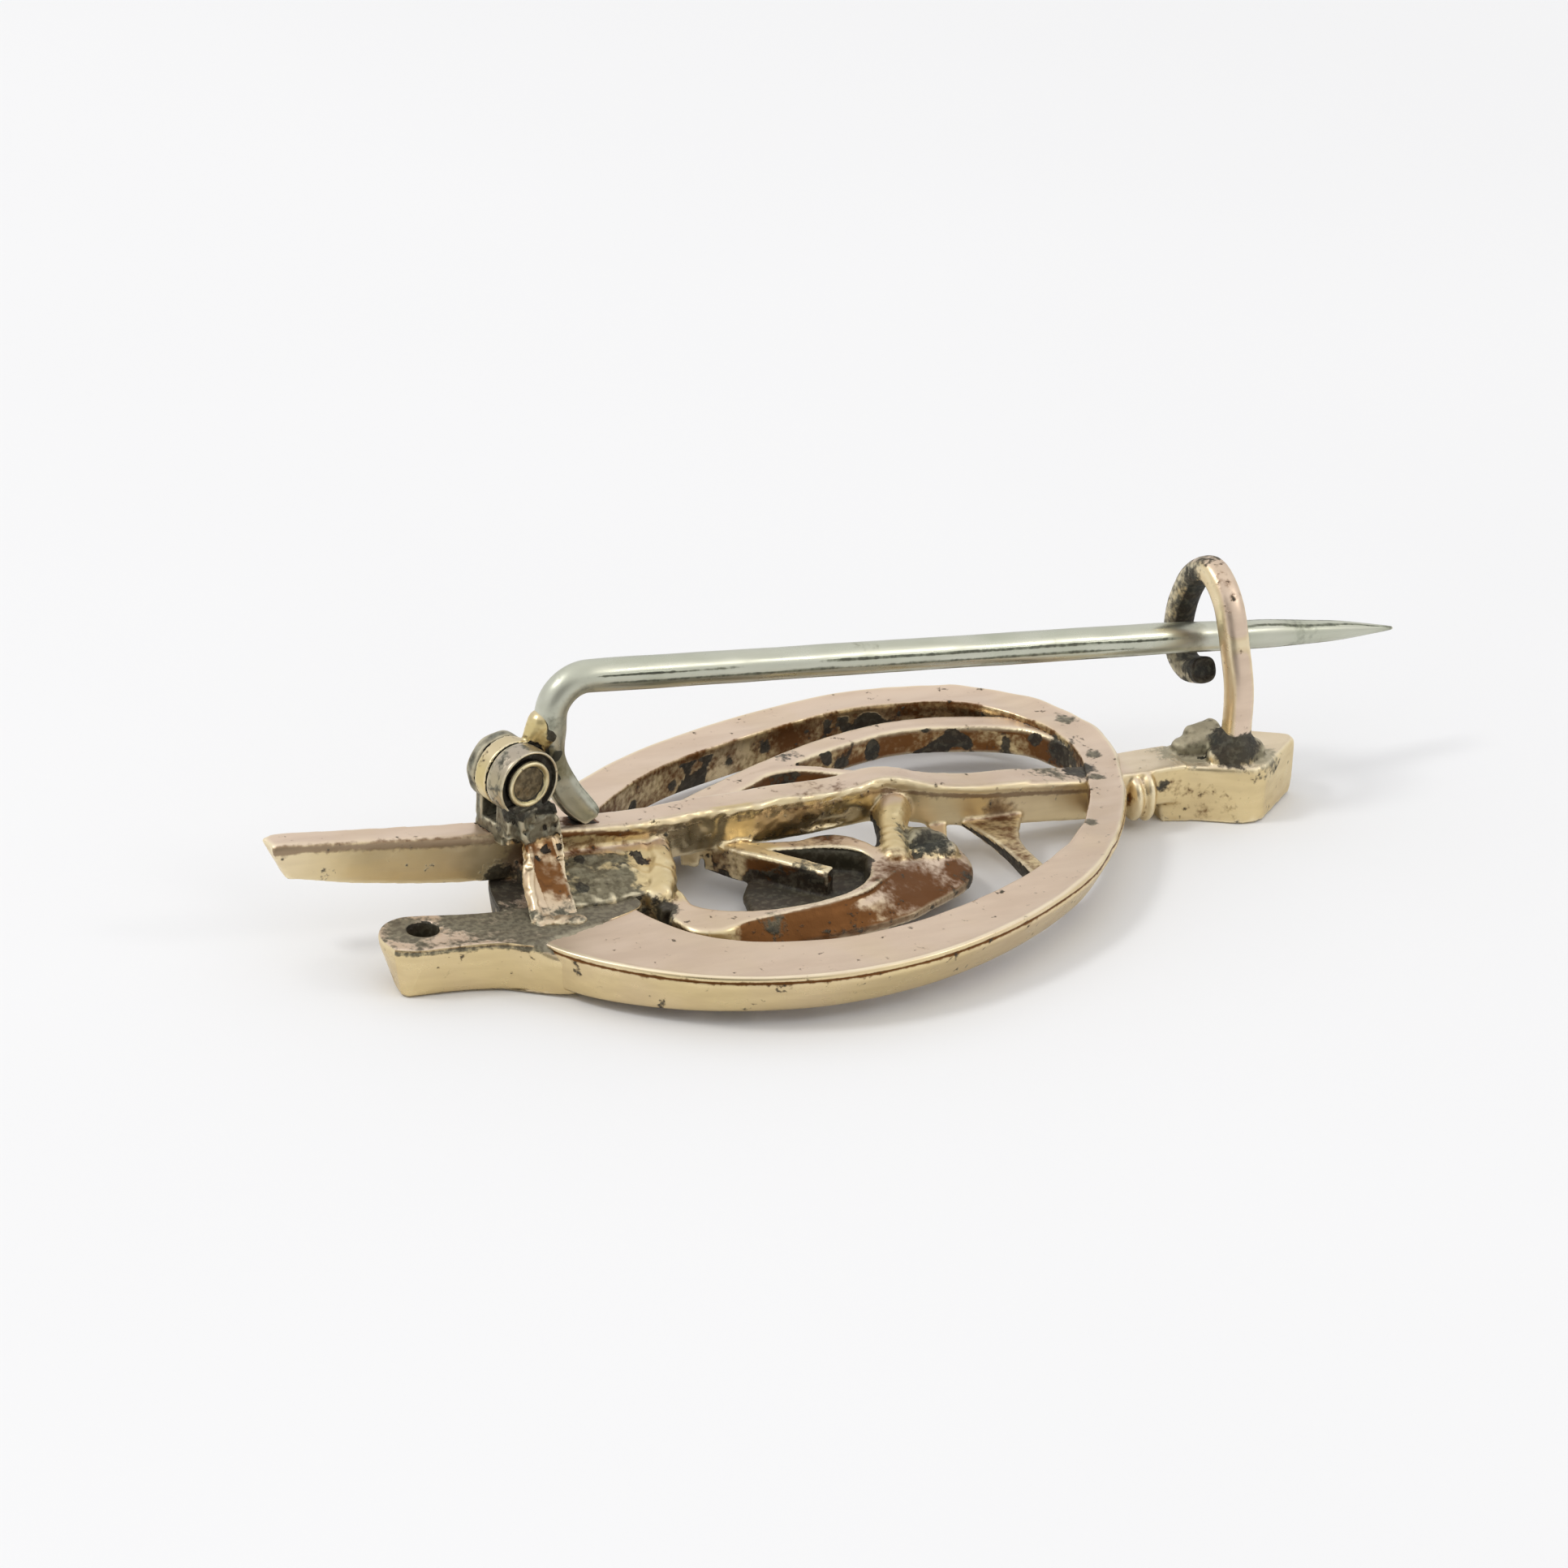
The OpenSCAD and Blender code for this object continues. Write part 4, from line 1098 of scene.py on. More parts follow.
@dataclass
class BarAndScroll:
    """All that is soldered between band and terminal: bar, inner strips, cup, neck and block."""

    voxel: float = 0.068
    rounds: int = 4
    bar_back: float = 2.15
    bar_slope: float = 4.3
    bar_left: float = -18.05
    # x, centre y, rise of the back, width, depth
    bar_rows: Rows = (
        (-18.05, 0.10, -0.04, 0.74, 0.92), (-17.8, 0.08, 0.06, 0.80, 1.08),
        (-17.2, 0.02, 0.10, 0.88, 1.14), (-15.6, -0.08, 0.08, 0.90, 1.33),
        (-12.6, -0.25, 0.06, 0.95, 1.48), (-9.5, -0.25, 0.00, 0.95, 1.40),
        (-7.0, -0.20, 0.00, 1.00, 1.34), (-5.0, 0.05, 0.08, 1.00, 1.34),
        (-3.0, 0.20, 0.12, 1.00, 1.34),
        (-1.0, 0.32, 0.22, 0.95, 1.32), (0.6, 0.45, 0.35, 0.95, 1.35),
        (2.0, 0.25, 0.18, 1.00, 1.35), (3.6, 0.15, 0.05, 1.00, 1.35),
        (5.4, 0.15, 0.00, 1.05, 1.35), (7.9, 0.15, -0.12, 1.05, 1.30),
    )
    # a corner of its section: how far its left end is cut back, side, inset, share of depth, drop
    bar_section: Rows = (
        (0.06, -1, 0.00, 0, 0.17), (0.06, -1, 0.03, 0, 0.08), (0.06, -1, 0.13, 0, 0.01),
        (0.06, -1, 0.22, 0, 0.01), (0.00, 0, 0.00, 0, 0.02), (0.00, 1, 0.08, 0, 0.00),
        (0.00, 1, 0.00, 0, 0.08), (0.46, 1, 0.05, 1, -0.06), (0.46, 1, 0.10, 1, 0.00),
        (0.46, -1, 0.12, 1, 0.00), (0.46, -1, 0.05, 1, -0.08),
    )
    # side, inset and drop along a strip's back, and how much narrower its foot is
    strip_section: Rows = (
        (-1, 0.0, 0.09), (-1, 0.07, 0.01), (0, 0.0, 0.03), (1, 0.07, 0.01), (1, 0.0, 0.09),
    )
    strip_draft: float = 0.1
    # the strips inside the band: x, y, width and height of the back
    upper: Rows = (
        (7.9, 2.0, 0.90, 1.50), (7.1, 3.8, 0.85, 1.45), (5.2, 4.8, 0.85, 1.40),
        (3.2, 5.15, 0.75, 1.40), (1.0, 4.75, 0.80, 1.40), (-1.1, 4.0, 0.80, 1.40),
        (-2.7, 3.2, 0.90, 1.40), (-4.2, 2.4, 1.00, 1.40), (-6.0, 1.2, 1.10, 1.40),
        (-7.4, -0.6, 1.15, 1.45), (-7.45, -2.2, 1.10, 1.45), (-7.3, -3.5, 0.95, 1.45),
    )
    middle: Rows = (
        (1.1, -1.8, 0.60, 0.90), (1.9, -0.8, 0.60, 0.85), (2.3, 0.6, 0.60, 1.00),
        (1.5, 2.25, 0.50, 1.30), (0.2, 3.22, 0.42, 1.37), (-1.1, 3.58, 0.40, 1.43),
        (-2.6, 3.12, 0.40, 1.43), (-4.1, 1.95, 0.45, 1.43), (-5.33, 0.25, 0.70, 1.43),
    )
    leaf: Rows = (
        (-4.72, 0.26, 0.74, 1.42), (-4.15, -0.75, 0.60, 1.47), (-3.4, -1.65, 0.50, 1.47),
        (-2.35, -2.8, 0.55, 1.42),
    )
    rim: Rows = (
        (-0.70, -2.9, 0.35, 1.38), (-0.80, -1.9, 0.60, 1.41), (-1.5, -1.15, 0.95, 1.41),
        (-2.6, -1.0, 0.60, 1.41), (-4.0, -0.6, 0.50, 1.41),
    )
    strut: Rows = (
        (3.9, 0.1, 2.30, 0.80), (3.62, -1.3, 1.25, 1.00), (3.46, -2.4, 0.72, 1.10),
        (3.40, -3.6, 0.62, 1.18), (3.35, -5.2, 0.70, 1.25),
    )
    # inner edge x, y, outer edge x, y, lip x, y, height
    cup: Rows = (
        (-6.95, -2.90, -7.75, -3.90, -7.75, -3.98, 1.45),
        (-6.80, -3.50, -7.50, -4.85, -7.42, -4.98, 1.45),
        (-6.25, -4.00, -6.75, -5.20, -6.60, -5.36, 1.45),
        (-5.40, -4.38, -5.70, -4.94, -5.55, -5.36, 1.45),
        (-4.30, -4.52, -4.40, -4.82, -4.30, -5.30, 1.45),
        (-3.10, -4.42, -3.05, -4.68, -3.00, -5.22, 1.45),
        (-2.10, -4.05, -1.90, -4.38, -1.80, -5.08, 1.45),
        (-1.45, -3.40, -1.10, -3.80, -0.70, -4.80, 1.42),
        (-1.15, -2.60, -0.20, -3.22, 0.10, -4.40, 1.32),
        (-0.85, -1.90, 0.70, -2.95, 0.95, -4.00, 1.22),
        (-0.40, -1.30, 1.55, -2.80, 1.72, -3.45, 1.12),
        (0.30, -0.90, 2.02, -2.20, 2.12, -2.65, 1.02),
        (0.80, -0.70, 1.98, -1.55, 2.02, -1.80, 0.98),
    )
    # runs of beads, start, end, radii and count: three dark lumps on the cup's right end, then
    # golden solder that ran down from the bar in rings
    cup_beads: tuple[Run, ...] = (
        ((0.62, -2.45, 1.02), (1.40, -2.35, 1.02), (0.42, 0.44), 3),
        ((0.85, -1.75, 1.16), (1.35, -1.85, 1.08), (0.44, 0.42), 3),
        ((0.90, -1.25, 1.10), (1.10, -1.60, 1.22), (0.34, 0.36), 3),
        ((0.75, -0.10, 1.40), (0.28, -1.05, 1.28), (0.58, 0.42), 6),
        ((0.28, -1.05, 1.28), (-0.22, -2.45, 1.14), (0.42, 0.48), 5),
    )
    # outline of the floor inside the cup, which is painted dark as shade
    floor: Rows = (
        (-4.60, -1.85), (-3.95, -0.95), (-3.0, -0.35), (-2.2, 0.0), (-1.2, -0.1), (-0.4, -0.9),
        (-0.5, -1.9), (-1.2, -2.9), (-1.6, -3.7), (-3.2, -4.5), (-4.4, -4.6), (-4.9, -3.6),
    )
    # x, height on the bar, near edge, height of the near edge
    solder: Rows = (
        (-11.0, 1.85, -2.9, 1.74), (-10.0, 1.90, -3.1, 1.78), (-9.0, 1.88, -3.1, 1.80),
        (-8.2, 1.85, -3.0, 1.80), (-7.5, 1.80, -2.6, 1.74), (-6.9, 1.65, -1.7, 1.70),
    )
    # the golden lip along the web's right edge
    lip_beads: tuple[Run, ...] = (
        ((-6.80, -0.75, 1.66), (-7.05, -1.70, 1.62), (0.42, 0.46), 9),
        ((-7.05, -1.70, 1.62), (-7.62, -2.85, 1.44), (0.46, 0.46), 12),
    )
    # y, left edge, right edge and height of the web behind the bar
    web: Rows = (
        (-0.05, -11.9, -8.5, 2.15), (0.30, -11.7, -8.6, 2.08), (0.60, -11.4, -8.8, 1.96),
        (1.00, -11.1, -9.0, 1.84), (1.30, -10.8, -9.2, 1.74), (1.60, -10.5, -9.4, 1.66),
    )
    block_outline: Rows = (
        (9.4, -0.15), (10.4, -0.45), (11.5, -1.0), (12.0, -1.12), (12.4, -1.0),
        (14.1, 0.45), (14.1, 0.75), (12.6, 1.65), (12.0, 1.75), (9.4, 0.95),
    )
    block_depth: float = 1.75
    # the neck's plate: x, y and z; the ribs on it: x and height
    neck: tuple[Point, Point, Point] = ((7.9, 10.1), (-0.35, 1.10), (0.35, 1.53))
    ribs: Rows = ((8.42, 0.72), (8.82, 0.80))
    # solder at the hook's foot and the lump beside it
    foot_beads: tuple[Run, ...] = (
        ((11.75, -0.05, 2.10), (11.75, -0.05, 1.55), (0.44, 0.78), 4),
        ((11.15, -0.25, 1.62), (12.35, -0.20, 1.58), (0.34, 0.36), 4),
        ((10.88, 0.82, 1.88), (11.45, 0.93, 1.84), (0.32, 0.36), 4),
        ((10.45, 0.62, 1.58), (11.30, 0.55, 1.62), (0.36, 0.50), 4),
    )
    # hammer marks, grainy solder, the golden lip beside it and the swell at the hook's foot
    hammered: Zone = Zone(x=(-8.5, -6.5, 0.0, 2.5), y=(-1.3, -0.8, 0.1, 0.4))
    grainy: Zone = Zone(x=(-11.8, -11.0, -8.2, -7.4), y=(None, None, -1.2, -0.8))
    lip: Zone = Zone(y=(-3.3, -3.0, -0.9, -0.6))
    foot: Zone = Zone(z=(1.45, 1.75, None, None))
    # walls between band and block; the golden ones; the bar's near wall, which gets less painted
    # shade, and its bare stretch, which is also painted lighter
    inside: Zone = Zone(x=(-12.2, -11.6, 9.6, 10.2))
    golden: Zone = Zone(x=(-10.3, -9.7, -8.4, -7.6), y=(-1.2, -0.9, None, None))
    near_wall: Zone = Zone(y=(-1.2, -0.9, 0.1, 0.4))
    bare: Zone = Zone(x=(-8.0, -6.5, -0.5, 3.0))
    far_strip: Zone = Zone(y=(1.0, 1.4, 3.2, 3.6))
    # solder on the left web, its grainy part, the column down to the cup, the strut
    web_back: Zone = Zone(x=(None, None, -6.8, -6.2), y=(-3.4, -3.0, -1.2, -0.8))
    web_grain: Zone = Zone(x=(None, None, -8.3, -7.5))
    column: Zone = Zone(x=(-0.70, -0.35, 0.85, 1.20), y=(-2.9, -2.6, -0.6, -0.3))
    strut_wall: Zone = Zone(x=(2.1, 2.7, 4.7, 5.3), y=(None, None, -0.6, -0.3))
    # the cup's outer wall; its floor and its inner wall, which are painted dark as shade; and the
    # leaf's wall
    cup_wall: Zone = Zone(x=(-6.6, -5.8, None, None), y=(None, None, -3.1, -2.7))
    cup_floor: Zone = Zone(x=(-5.2, -4.6, -0.8, -0.2), y=(-4.6, -4.2, None, None),
                           z=(None, None, 0.66, 0.78))
    cup_inner: Zone = Zone(z=(None, None, 1.28, 1.40))
    leaf_wall: Zone = Zone(z=(None, None, 1.30, 1.42))
    cup_middle: tuple[float, float] = (-2.0, -2.6)
    # the leaf's middle line: x and y where it starts, its fall; and its soft edges
    leaf_line: tuple[float, float, float] = (-4.9, 0.5, 1.3)
    leaf_edges: tuple[float, float] = (1.0, 0.6)
    # x where the block begins
    block_start: float = 8.0

    def bar_height(self, x: float) -> float:
        """Returns the height of the bar's back at x."""
        return self.bar_back - x * math.tan(math.radians(self.bar_slope))

    def bar(self, skin: Skin) -> None:
        """Grows the bar: a bevelled bright edge along its back and a skew left end."""
        rings = []
        for x, y, rise, width, depth in through(self.bar_rows, 8):
            top, half = self.bar_height(x) + rise, width / 2
            rings.append([Vector((max(x, self.bar_left + cut), y + side * (half - inset),
                                  top - share * depth - drop))
                          for cut, side, inset, share, drop in self.bar_section])
        skin.grow(rings)

    def strip(self, skin: Skin, rows: Sequence[Point], foot: float) -> None:
        """Grows one tapering strip from rows of x, y, width and height down to its foot."""
        path = through(rows, 7)
        rings = []
        for (x, y, width, top), way in zip(path, ways(path)):
            across, middle, half = Vector((-way[1], way[0], 0)), Vector((x, y, 0)), width / 2
            foot_half = max(half - self.strip_draft, self.strip_draft)
            profile = [(side * (half - inset), top - drop)
                       for side, inset, drop in self.strip_section]
            profile += [(foot_half, foot), (-foot_half, foot)]
            rings.append([middle + across * s + Vector((0, 0, z)) for s, z in profile])
        skin.grow(rings)

    def scroll_cup(self, skin: Skin) -> None:
        """Grows the cup with its comma-shaped back and its wall down to a thin lip."""
        rings = []
        for row in through(self.cup, 6):
            inner, outer, lip = Vector(row[0:2]), Vector(row[2:4]), Vector(row[4:6])
            top = row[6]
            profile = ((inner, 0.47), (lip, 0.47), (lip, 0.70), (lip.lerp(outer, 0.14), 0.79),
                       (lip.lerp(outer, 0.55), 0.79 + 0.42 * (top - 0.79)),
                       (lip.lerp(outer, 0.97), top - 0.08), (outer.lerp(inner, 0.10), top),
                       (outer.lerp(inner, 0.88), top), (inner, top - 0.07))
            rings.append([Vector((p.x, p.y, z)) for p, z in profile])
        skin.grow(rings)
        for run in self.cup_beads:
            skin.beads(*run)

    def well(self, skin: Skin) -> None:
        """Grows the cup's floor under the leaf, a sheet that is painted dark as shade."""
        floor = through([*self.floor, self.floor[0]], 4)[:-1]
        middle = floor.mean(axis=0)
        lip = middle + (floor - middle) * 0.94
        skin.loops(((lip, 0.22), (floor, 0.30), (floor, 0.52), (lip, 0.62)))

    def left_solder(self, skin: Skin) -> None:
        """Grows the solder between the bar and the band's wide left end."""
        rings = []
        for x, high, near, low in through(self.solder, 6):
            waist = (high + 0.25 + low) / 2 + 0.05
            profile = ((-0.30, 1.0), (near, 1.0), (near, low), ((near - 0.6) / 2, waist),
                       (-0.60, high + 0.30), (-0.30, high + 0.30))
            rings.append([Vector((x, y, z)) for y, z in profile])
        skin.grow(rings)
        for run in self.lip_beads:
            skin.beads(*run)
        # the web that slopes from the bar's far wall down to the band
        rings = []
        for y, left, right, high in self.web:
            profile = ((left, 1.40), (right, 1.40), (right, high - 0.08), (right - 0.2, high),
                       (left + 0.2, high), (left, high - 0.08))
            rings.append([Vector((x, y, z)) for x, z in profile])
        skin.grow(rings)

    def terminal(self, skin: Skin) -> None:
        """Grows the neck with its two ribs, the lozenge block and the solder on its back."""
        skin.block(*self.neck)
        for x, tall in self.ribs:
            skin.beads((x, -0.27, 0.72), (x, 0.60, 0.72), (1, 1), 3, (0.28, 0.58, tall))
        base = self.bar_height(12) + 0.22 - self.block_depth
        outline = np.array(self.block_outline)
        middle = outline.mean(axis=0)
        foot = outline * np.array([0.965, 0.98]) + np.array([0.40, -0.06])
        trim = outline + (middle - outline) * 0.05
        dish = outline + (middle - outline) * 0.16
        steps = ((foot, 0.0), (foot * 0.9 + outline * 0.1, 0.12),
                 (foot * 0.35 + outline * 0.65, 0.27), (outline, 0.42), (outline, 1.62),
                 (trim, 1.75), (dish, 1.72))
        skin.loops([(loop, base + z) for loop, z in steps])
        for run in self.foot_beads:
            skin.beads(*run)

    def make(self) -> Piece:
        """Builds every skin, melts them together and gives the metal its lumps."""
        bm = bmesh.new()
        skin = Skin(bm)
        self.bar(skin)
        for rows, foot in ((self.upper, 0.50), (self.middle, 0.53), (self.leaf, 0.45),
                           (self.rim, 0.63), (self.strut, 0.66)):
            self.strip(skin, rows, foot)
        self.scroll_cup(skin)
        self.well(skin)
        self.left_solder(skin)
        self.terminal(skin)
        piece = Piece("bar_and_scroll", bm)
        piece.fuse(self.voxel, self.rounds)
        return piece.swell(self.lumps)

    def lumps(self, places: np.ndarray, normals: np.ndarray) -> np.ndarray:
        """Hammer marks on the bar's near face, grainy solder and slight unevenness elsewhere."""
        x, _, z = places.T
        near = facing(normals, Side.NEAR, 0.3, 0.8)
        worked = near * self.hammered.mask(places)
        solder = self.grainy.mask(places)
        foot = streak(x, 11.4, 1.0) * self.foot.mask(places)
        lip = streak(x, -7.2, 0.6) * self.lip.mask(places)
        amount = 0.010 + 0.045 * worked + 0.095 * solder + 0.035 * foot + 0.07 * lip
        hammer = 0.07 * worked * ripple(places * np.array([0.8, 1, 1.3]), 1.1, 30)
        slot = streak(x, -1.5, 0.9) * streak(z, 1.35, 0.16) * near * ease(places[:, 1], 0.4, 0.1)
        flat = facing(normals, Side.UP, 0.6, 0.9) * ease(x, -7, -5) * (z > 1.75)
        wave = 0.030 * np.sin(x * 1.7) * flat
        fine = ripple(places, 0.75, 7) + 0.6 * ripple(places, 0.28, 8)
        return amount * fine + hammer - 0.11 * slot + wave

    def leaf_mask(self, places: np.ndarray) -> np.ndarray:
        """Returns 1 on the leaf, which runs aslant from the strips into the cup."""
        x, y, _ = places.T
        start, level, fall = self.leaf_line
        aslant = np.abs(y - level + fall * (x - start))
        return ease(aslant, *self.leaf_edges) * (x < -2.1) * (y < -0.2)

    def paint_walls(self, paint: Paint, back: np.ndarray) -> None:
        """Lays brown and soot on the walls inside the band, deeper on the far side."""
        inner = (1 - back) * self.inside.mask(paint.places)
        y = paint.places[:, 1]
        far = ease(y, 0.9, 1.3)
        dark = 0.04 + 0.66 * far + 0.25 * ease(y, -1.3, -1.8)
        paint.add(Stain.BROWN, (dark + 0.25 * paint.ripple(1.1, 11)) * inner)
        paint.add(Stain.SOOT_AND_SHADE, 0.8 * far * inner * ease(paint.ripple(0.7, 16), 0.05, 0.35))

    def paint_solder(self, paint: Paint, back: np.ndarray) -> np.ndarray:
        """Lays grey grains, a black seam and brown on the solder, and returns where it is."""
        places = paint.places
        web, strut = self.web_back.mask(places), self.strut_wall.mask(places)
        grain = web * self.web_grain.mask(places)
        paint.add(Stain.GREY, grain * (0.70 + 0.4 * paint.ripple(0.5, 17)))
        paint.add(Stain.SOOT_AND_SHADE, 0.85 * grain * streak(places[:, 1], -0.86, 0.13))
        paint.add(Stain.SOOT_AND_SHADE, 0.6 * grain * ease(paint.ripple(0.4, 18), 0.12, 0.4))
        paint.add(Stain.BROWN, strut * (0.40 + 0.4 * paint.ripple(0.8, 19)))
        golden = self.golden.mask(places) * (1 - back)
        paint.add(Stain.BROWN, golden * (0.50 + 0.25 * paint.ripple(0.9, 28)))
        leaf = 0.8 * self.leaf_mask(places)
        return np.clip(web + self.column.mask(places) + strut + leaf, 0, 1)

    def paint_cup(self, paint: Paint, back: np.ndarray) -> np.ndarray:
        """Paints the cup's wall brown, painted shade inside the cup, and a dark mottle on the
        leaf's wall, darker lower down; returns the cup's wall.
        """
        places, walls = paint.places, 1 - back
        cup = self.cup_wall.mask(places) * walls
        paint.thin(Stain.BROWN, 1 - cup)
        paint.columns[Stain.BROWN.value] += cup
        paint.add(Stain.SOOT_AND_SHADE, cup * (0.16 + 0.16 * paint.ripple(1.2, 20)))
        toward = np.array(self.cup_middle) - places[:, :2]
        reach = lengths(toward)
        inward = (toward * paint.normals[:, :2]).sum(1) / (reach + 1e-6)
        inner = ease(inward, 0.1, 0.4) * ease(reach, 3.0, 2.5) * self.cup_inner.mask(places)
        # the cup's floor and its inner walls painted dark as shade
        paint.add(Stain.SOOT_AND_SHADE, np.maximum(self.cup_floor.mask(places), inner))
        flank = self.leaf_mask(places) * walls * self.leaf_wall.mask(places)
        paint.add(Stain.BROWN, 0.95 * flank)
        # dark mottle on the leaf's wall, darker towards the bottom
        mottle_darker_low = 0.38 + 0.45 * paint.ripple(0.5, 29) + 0.4 * ease(places[:, 2], 1.1, 0.8)
        paint.add(Stain.SOOT_AND_SHADE, flank * mottle_darker_low)
        return cup

    def paint_line(self, paint: Paint) -> np.ndarray:
        """Draws the brown line along the bar's near edge and returns it."""
        x, y, z = paint.places.T
        rows = np.array(self.bar_rows)
        drop = self.bar_height(x) + np.interp(x, rows[:, 0], rows[:, 2]) - z
        front = paint.facing(Side.NEAR, 0.1, 0.5) * ease(y, -1.2, -0.9)
        front = front * (drop < 1.0) * (x < self.block_start)
        depth = 0.17 + 0.18 * ease(x, -9, -7)
        line = front * streak(drop, depth, 0.09 + 0.06 * ease(x, -9, -10))
        paint.add(Stain.BROWN, line * (1.0 + 0.4 * paint.ripple(0.9, 26)))
        return line

    def dress(self, piece: Piece, patina_and_shade: Patina_and_shade) -> None:
        """Paints shade, stains, bright edges with painted highlights, walls painted lighter and the
        pink of the backs, partly a painted reflection.
        """
        paint = Paint(piece, patina_and_shade)
        x = paint.places[:, 0]
        back = paint.facing(Side.UP, 0.55, 0.9)
        self.paint_walls(paint, back)
        solder = self.paint_solder(paint, back)
        cup = self.paint_cup(paint, back)
        line = self.paint_line(paint)
        wall = paint.facing(Side.NEAR, 0.3, 0.7) * self.near_wall.mask(paint.places)
        # less painted shade on the bar's near wall
        paint.shade = paint.shade * (1 - 0.8 * wall)
        # less painted shade as soot on the far strip's near wall
        strip = paint.facing(Side.NEAR, 0.2, 0.5) * self.far_strip.mask(paint.places) * (x < 1.4)
        paint.thin(Stain.SOOT_AND_SHADE, 1 - strip)
        # painted shade in the corners, with tarnish
        paint.corners(Stain.BROWN, 0.85, low=0.42, high=0.85)
        paint.corners(Stain.SOOT_AND_SHADE, 1 - 0.8 * strip, low=0.70, high=0.98)
        # brown in the creases is tarnish and painted shade; bright crests are worn and painted as
        # highlights, weaker in shade
        crest = piece.crest()
        paint.add(Stain.BROWN, 0.6 * ease(crest, -0.02, -0.10))
        edge = ease(crest, 0.03, 0.13) * (1 - 0.7 * ease(paint.shade, 0.3, 0.7))
        edge = edge * (1 - line * (x < -9))
        # the hammered stretch of the near wall is bare gold, also painted lighter through pale
        bare = wall * self.bare.mask(paint.places)
        for kind, share in ((Stain.GREY, 0.8), (Stain.BROWN, 0.5), (Stain.SOOT_AND_SHADE, 0.8)):
            paint.thin(kind, 1 - share * bare)
        # the bar's left end, its near wall from the column to the block and the block's back are
        # painted lighter; pink on the backs is partly a painted reflection
        plain = ease(x, -10.6, -11.2) + ease(x, 0.8, 1.6) * wall * (x < self.block_start)
        plain = np.clip(plain, 0, 1)
        block = ease(x, self.block_start, self.block_start + 0.6)
        pink = np.maximum((0.95 * back + 0.05) * (1 - solder), 0.4 * cup) * (1 - 0.2 * block)
        pale = np.maximum(0.75 * edge, 0.22 * bare + 0.45 * back * block)
        pale = np.maximum(pale, 0.30 * plain * (1 - back))
        paint.finish(pale, pink, gloss=0.55 * (1 - back) * (1 - plain) + 0.5 * bare)


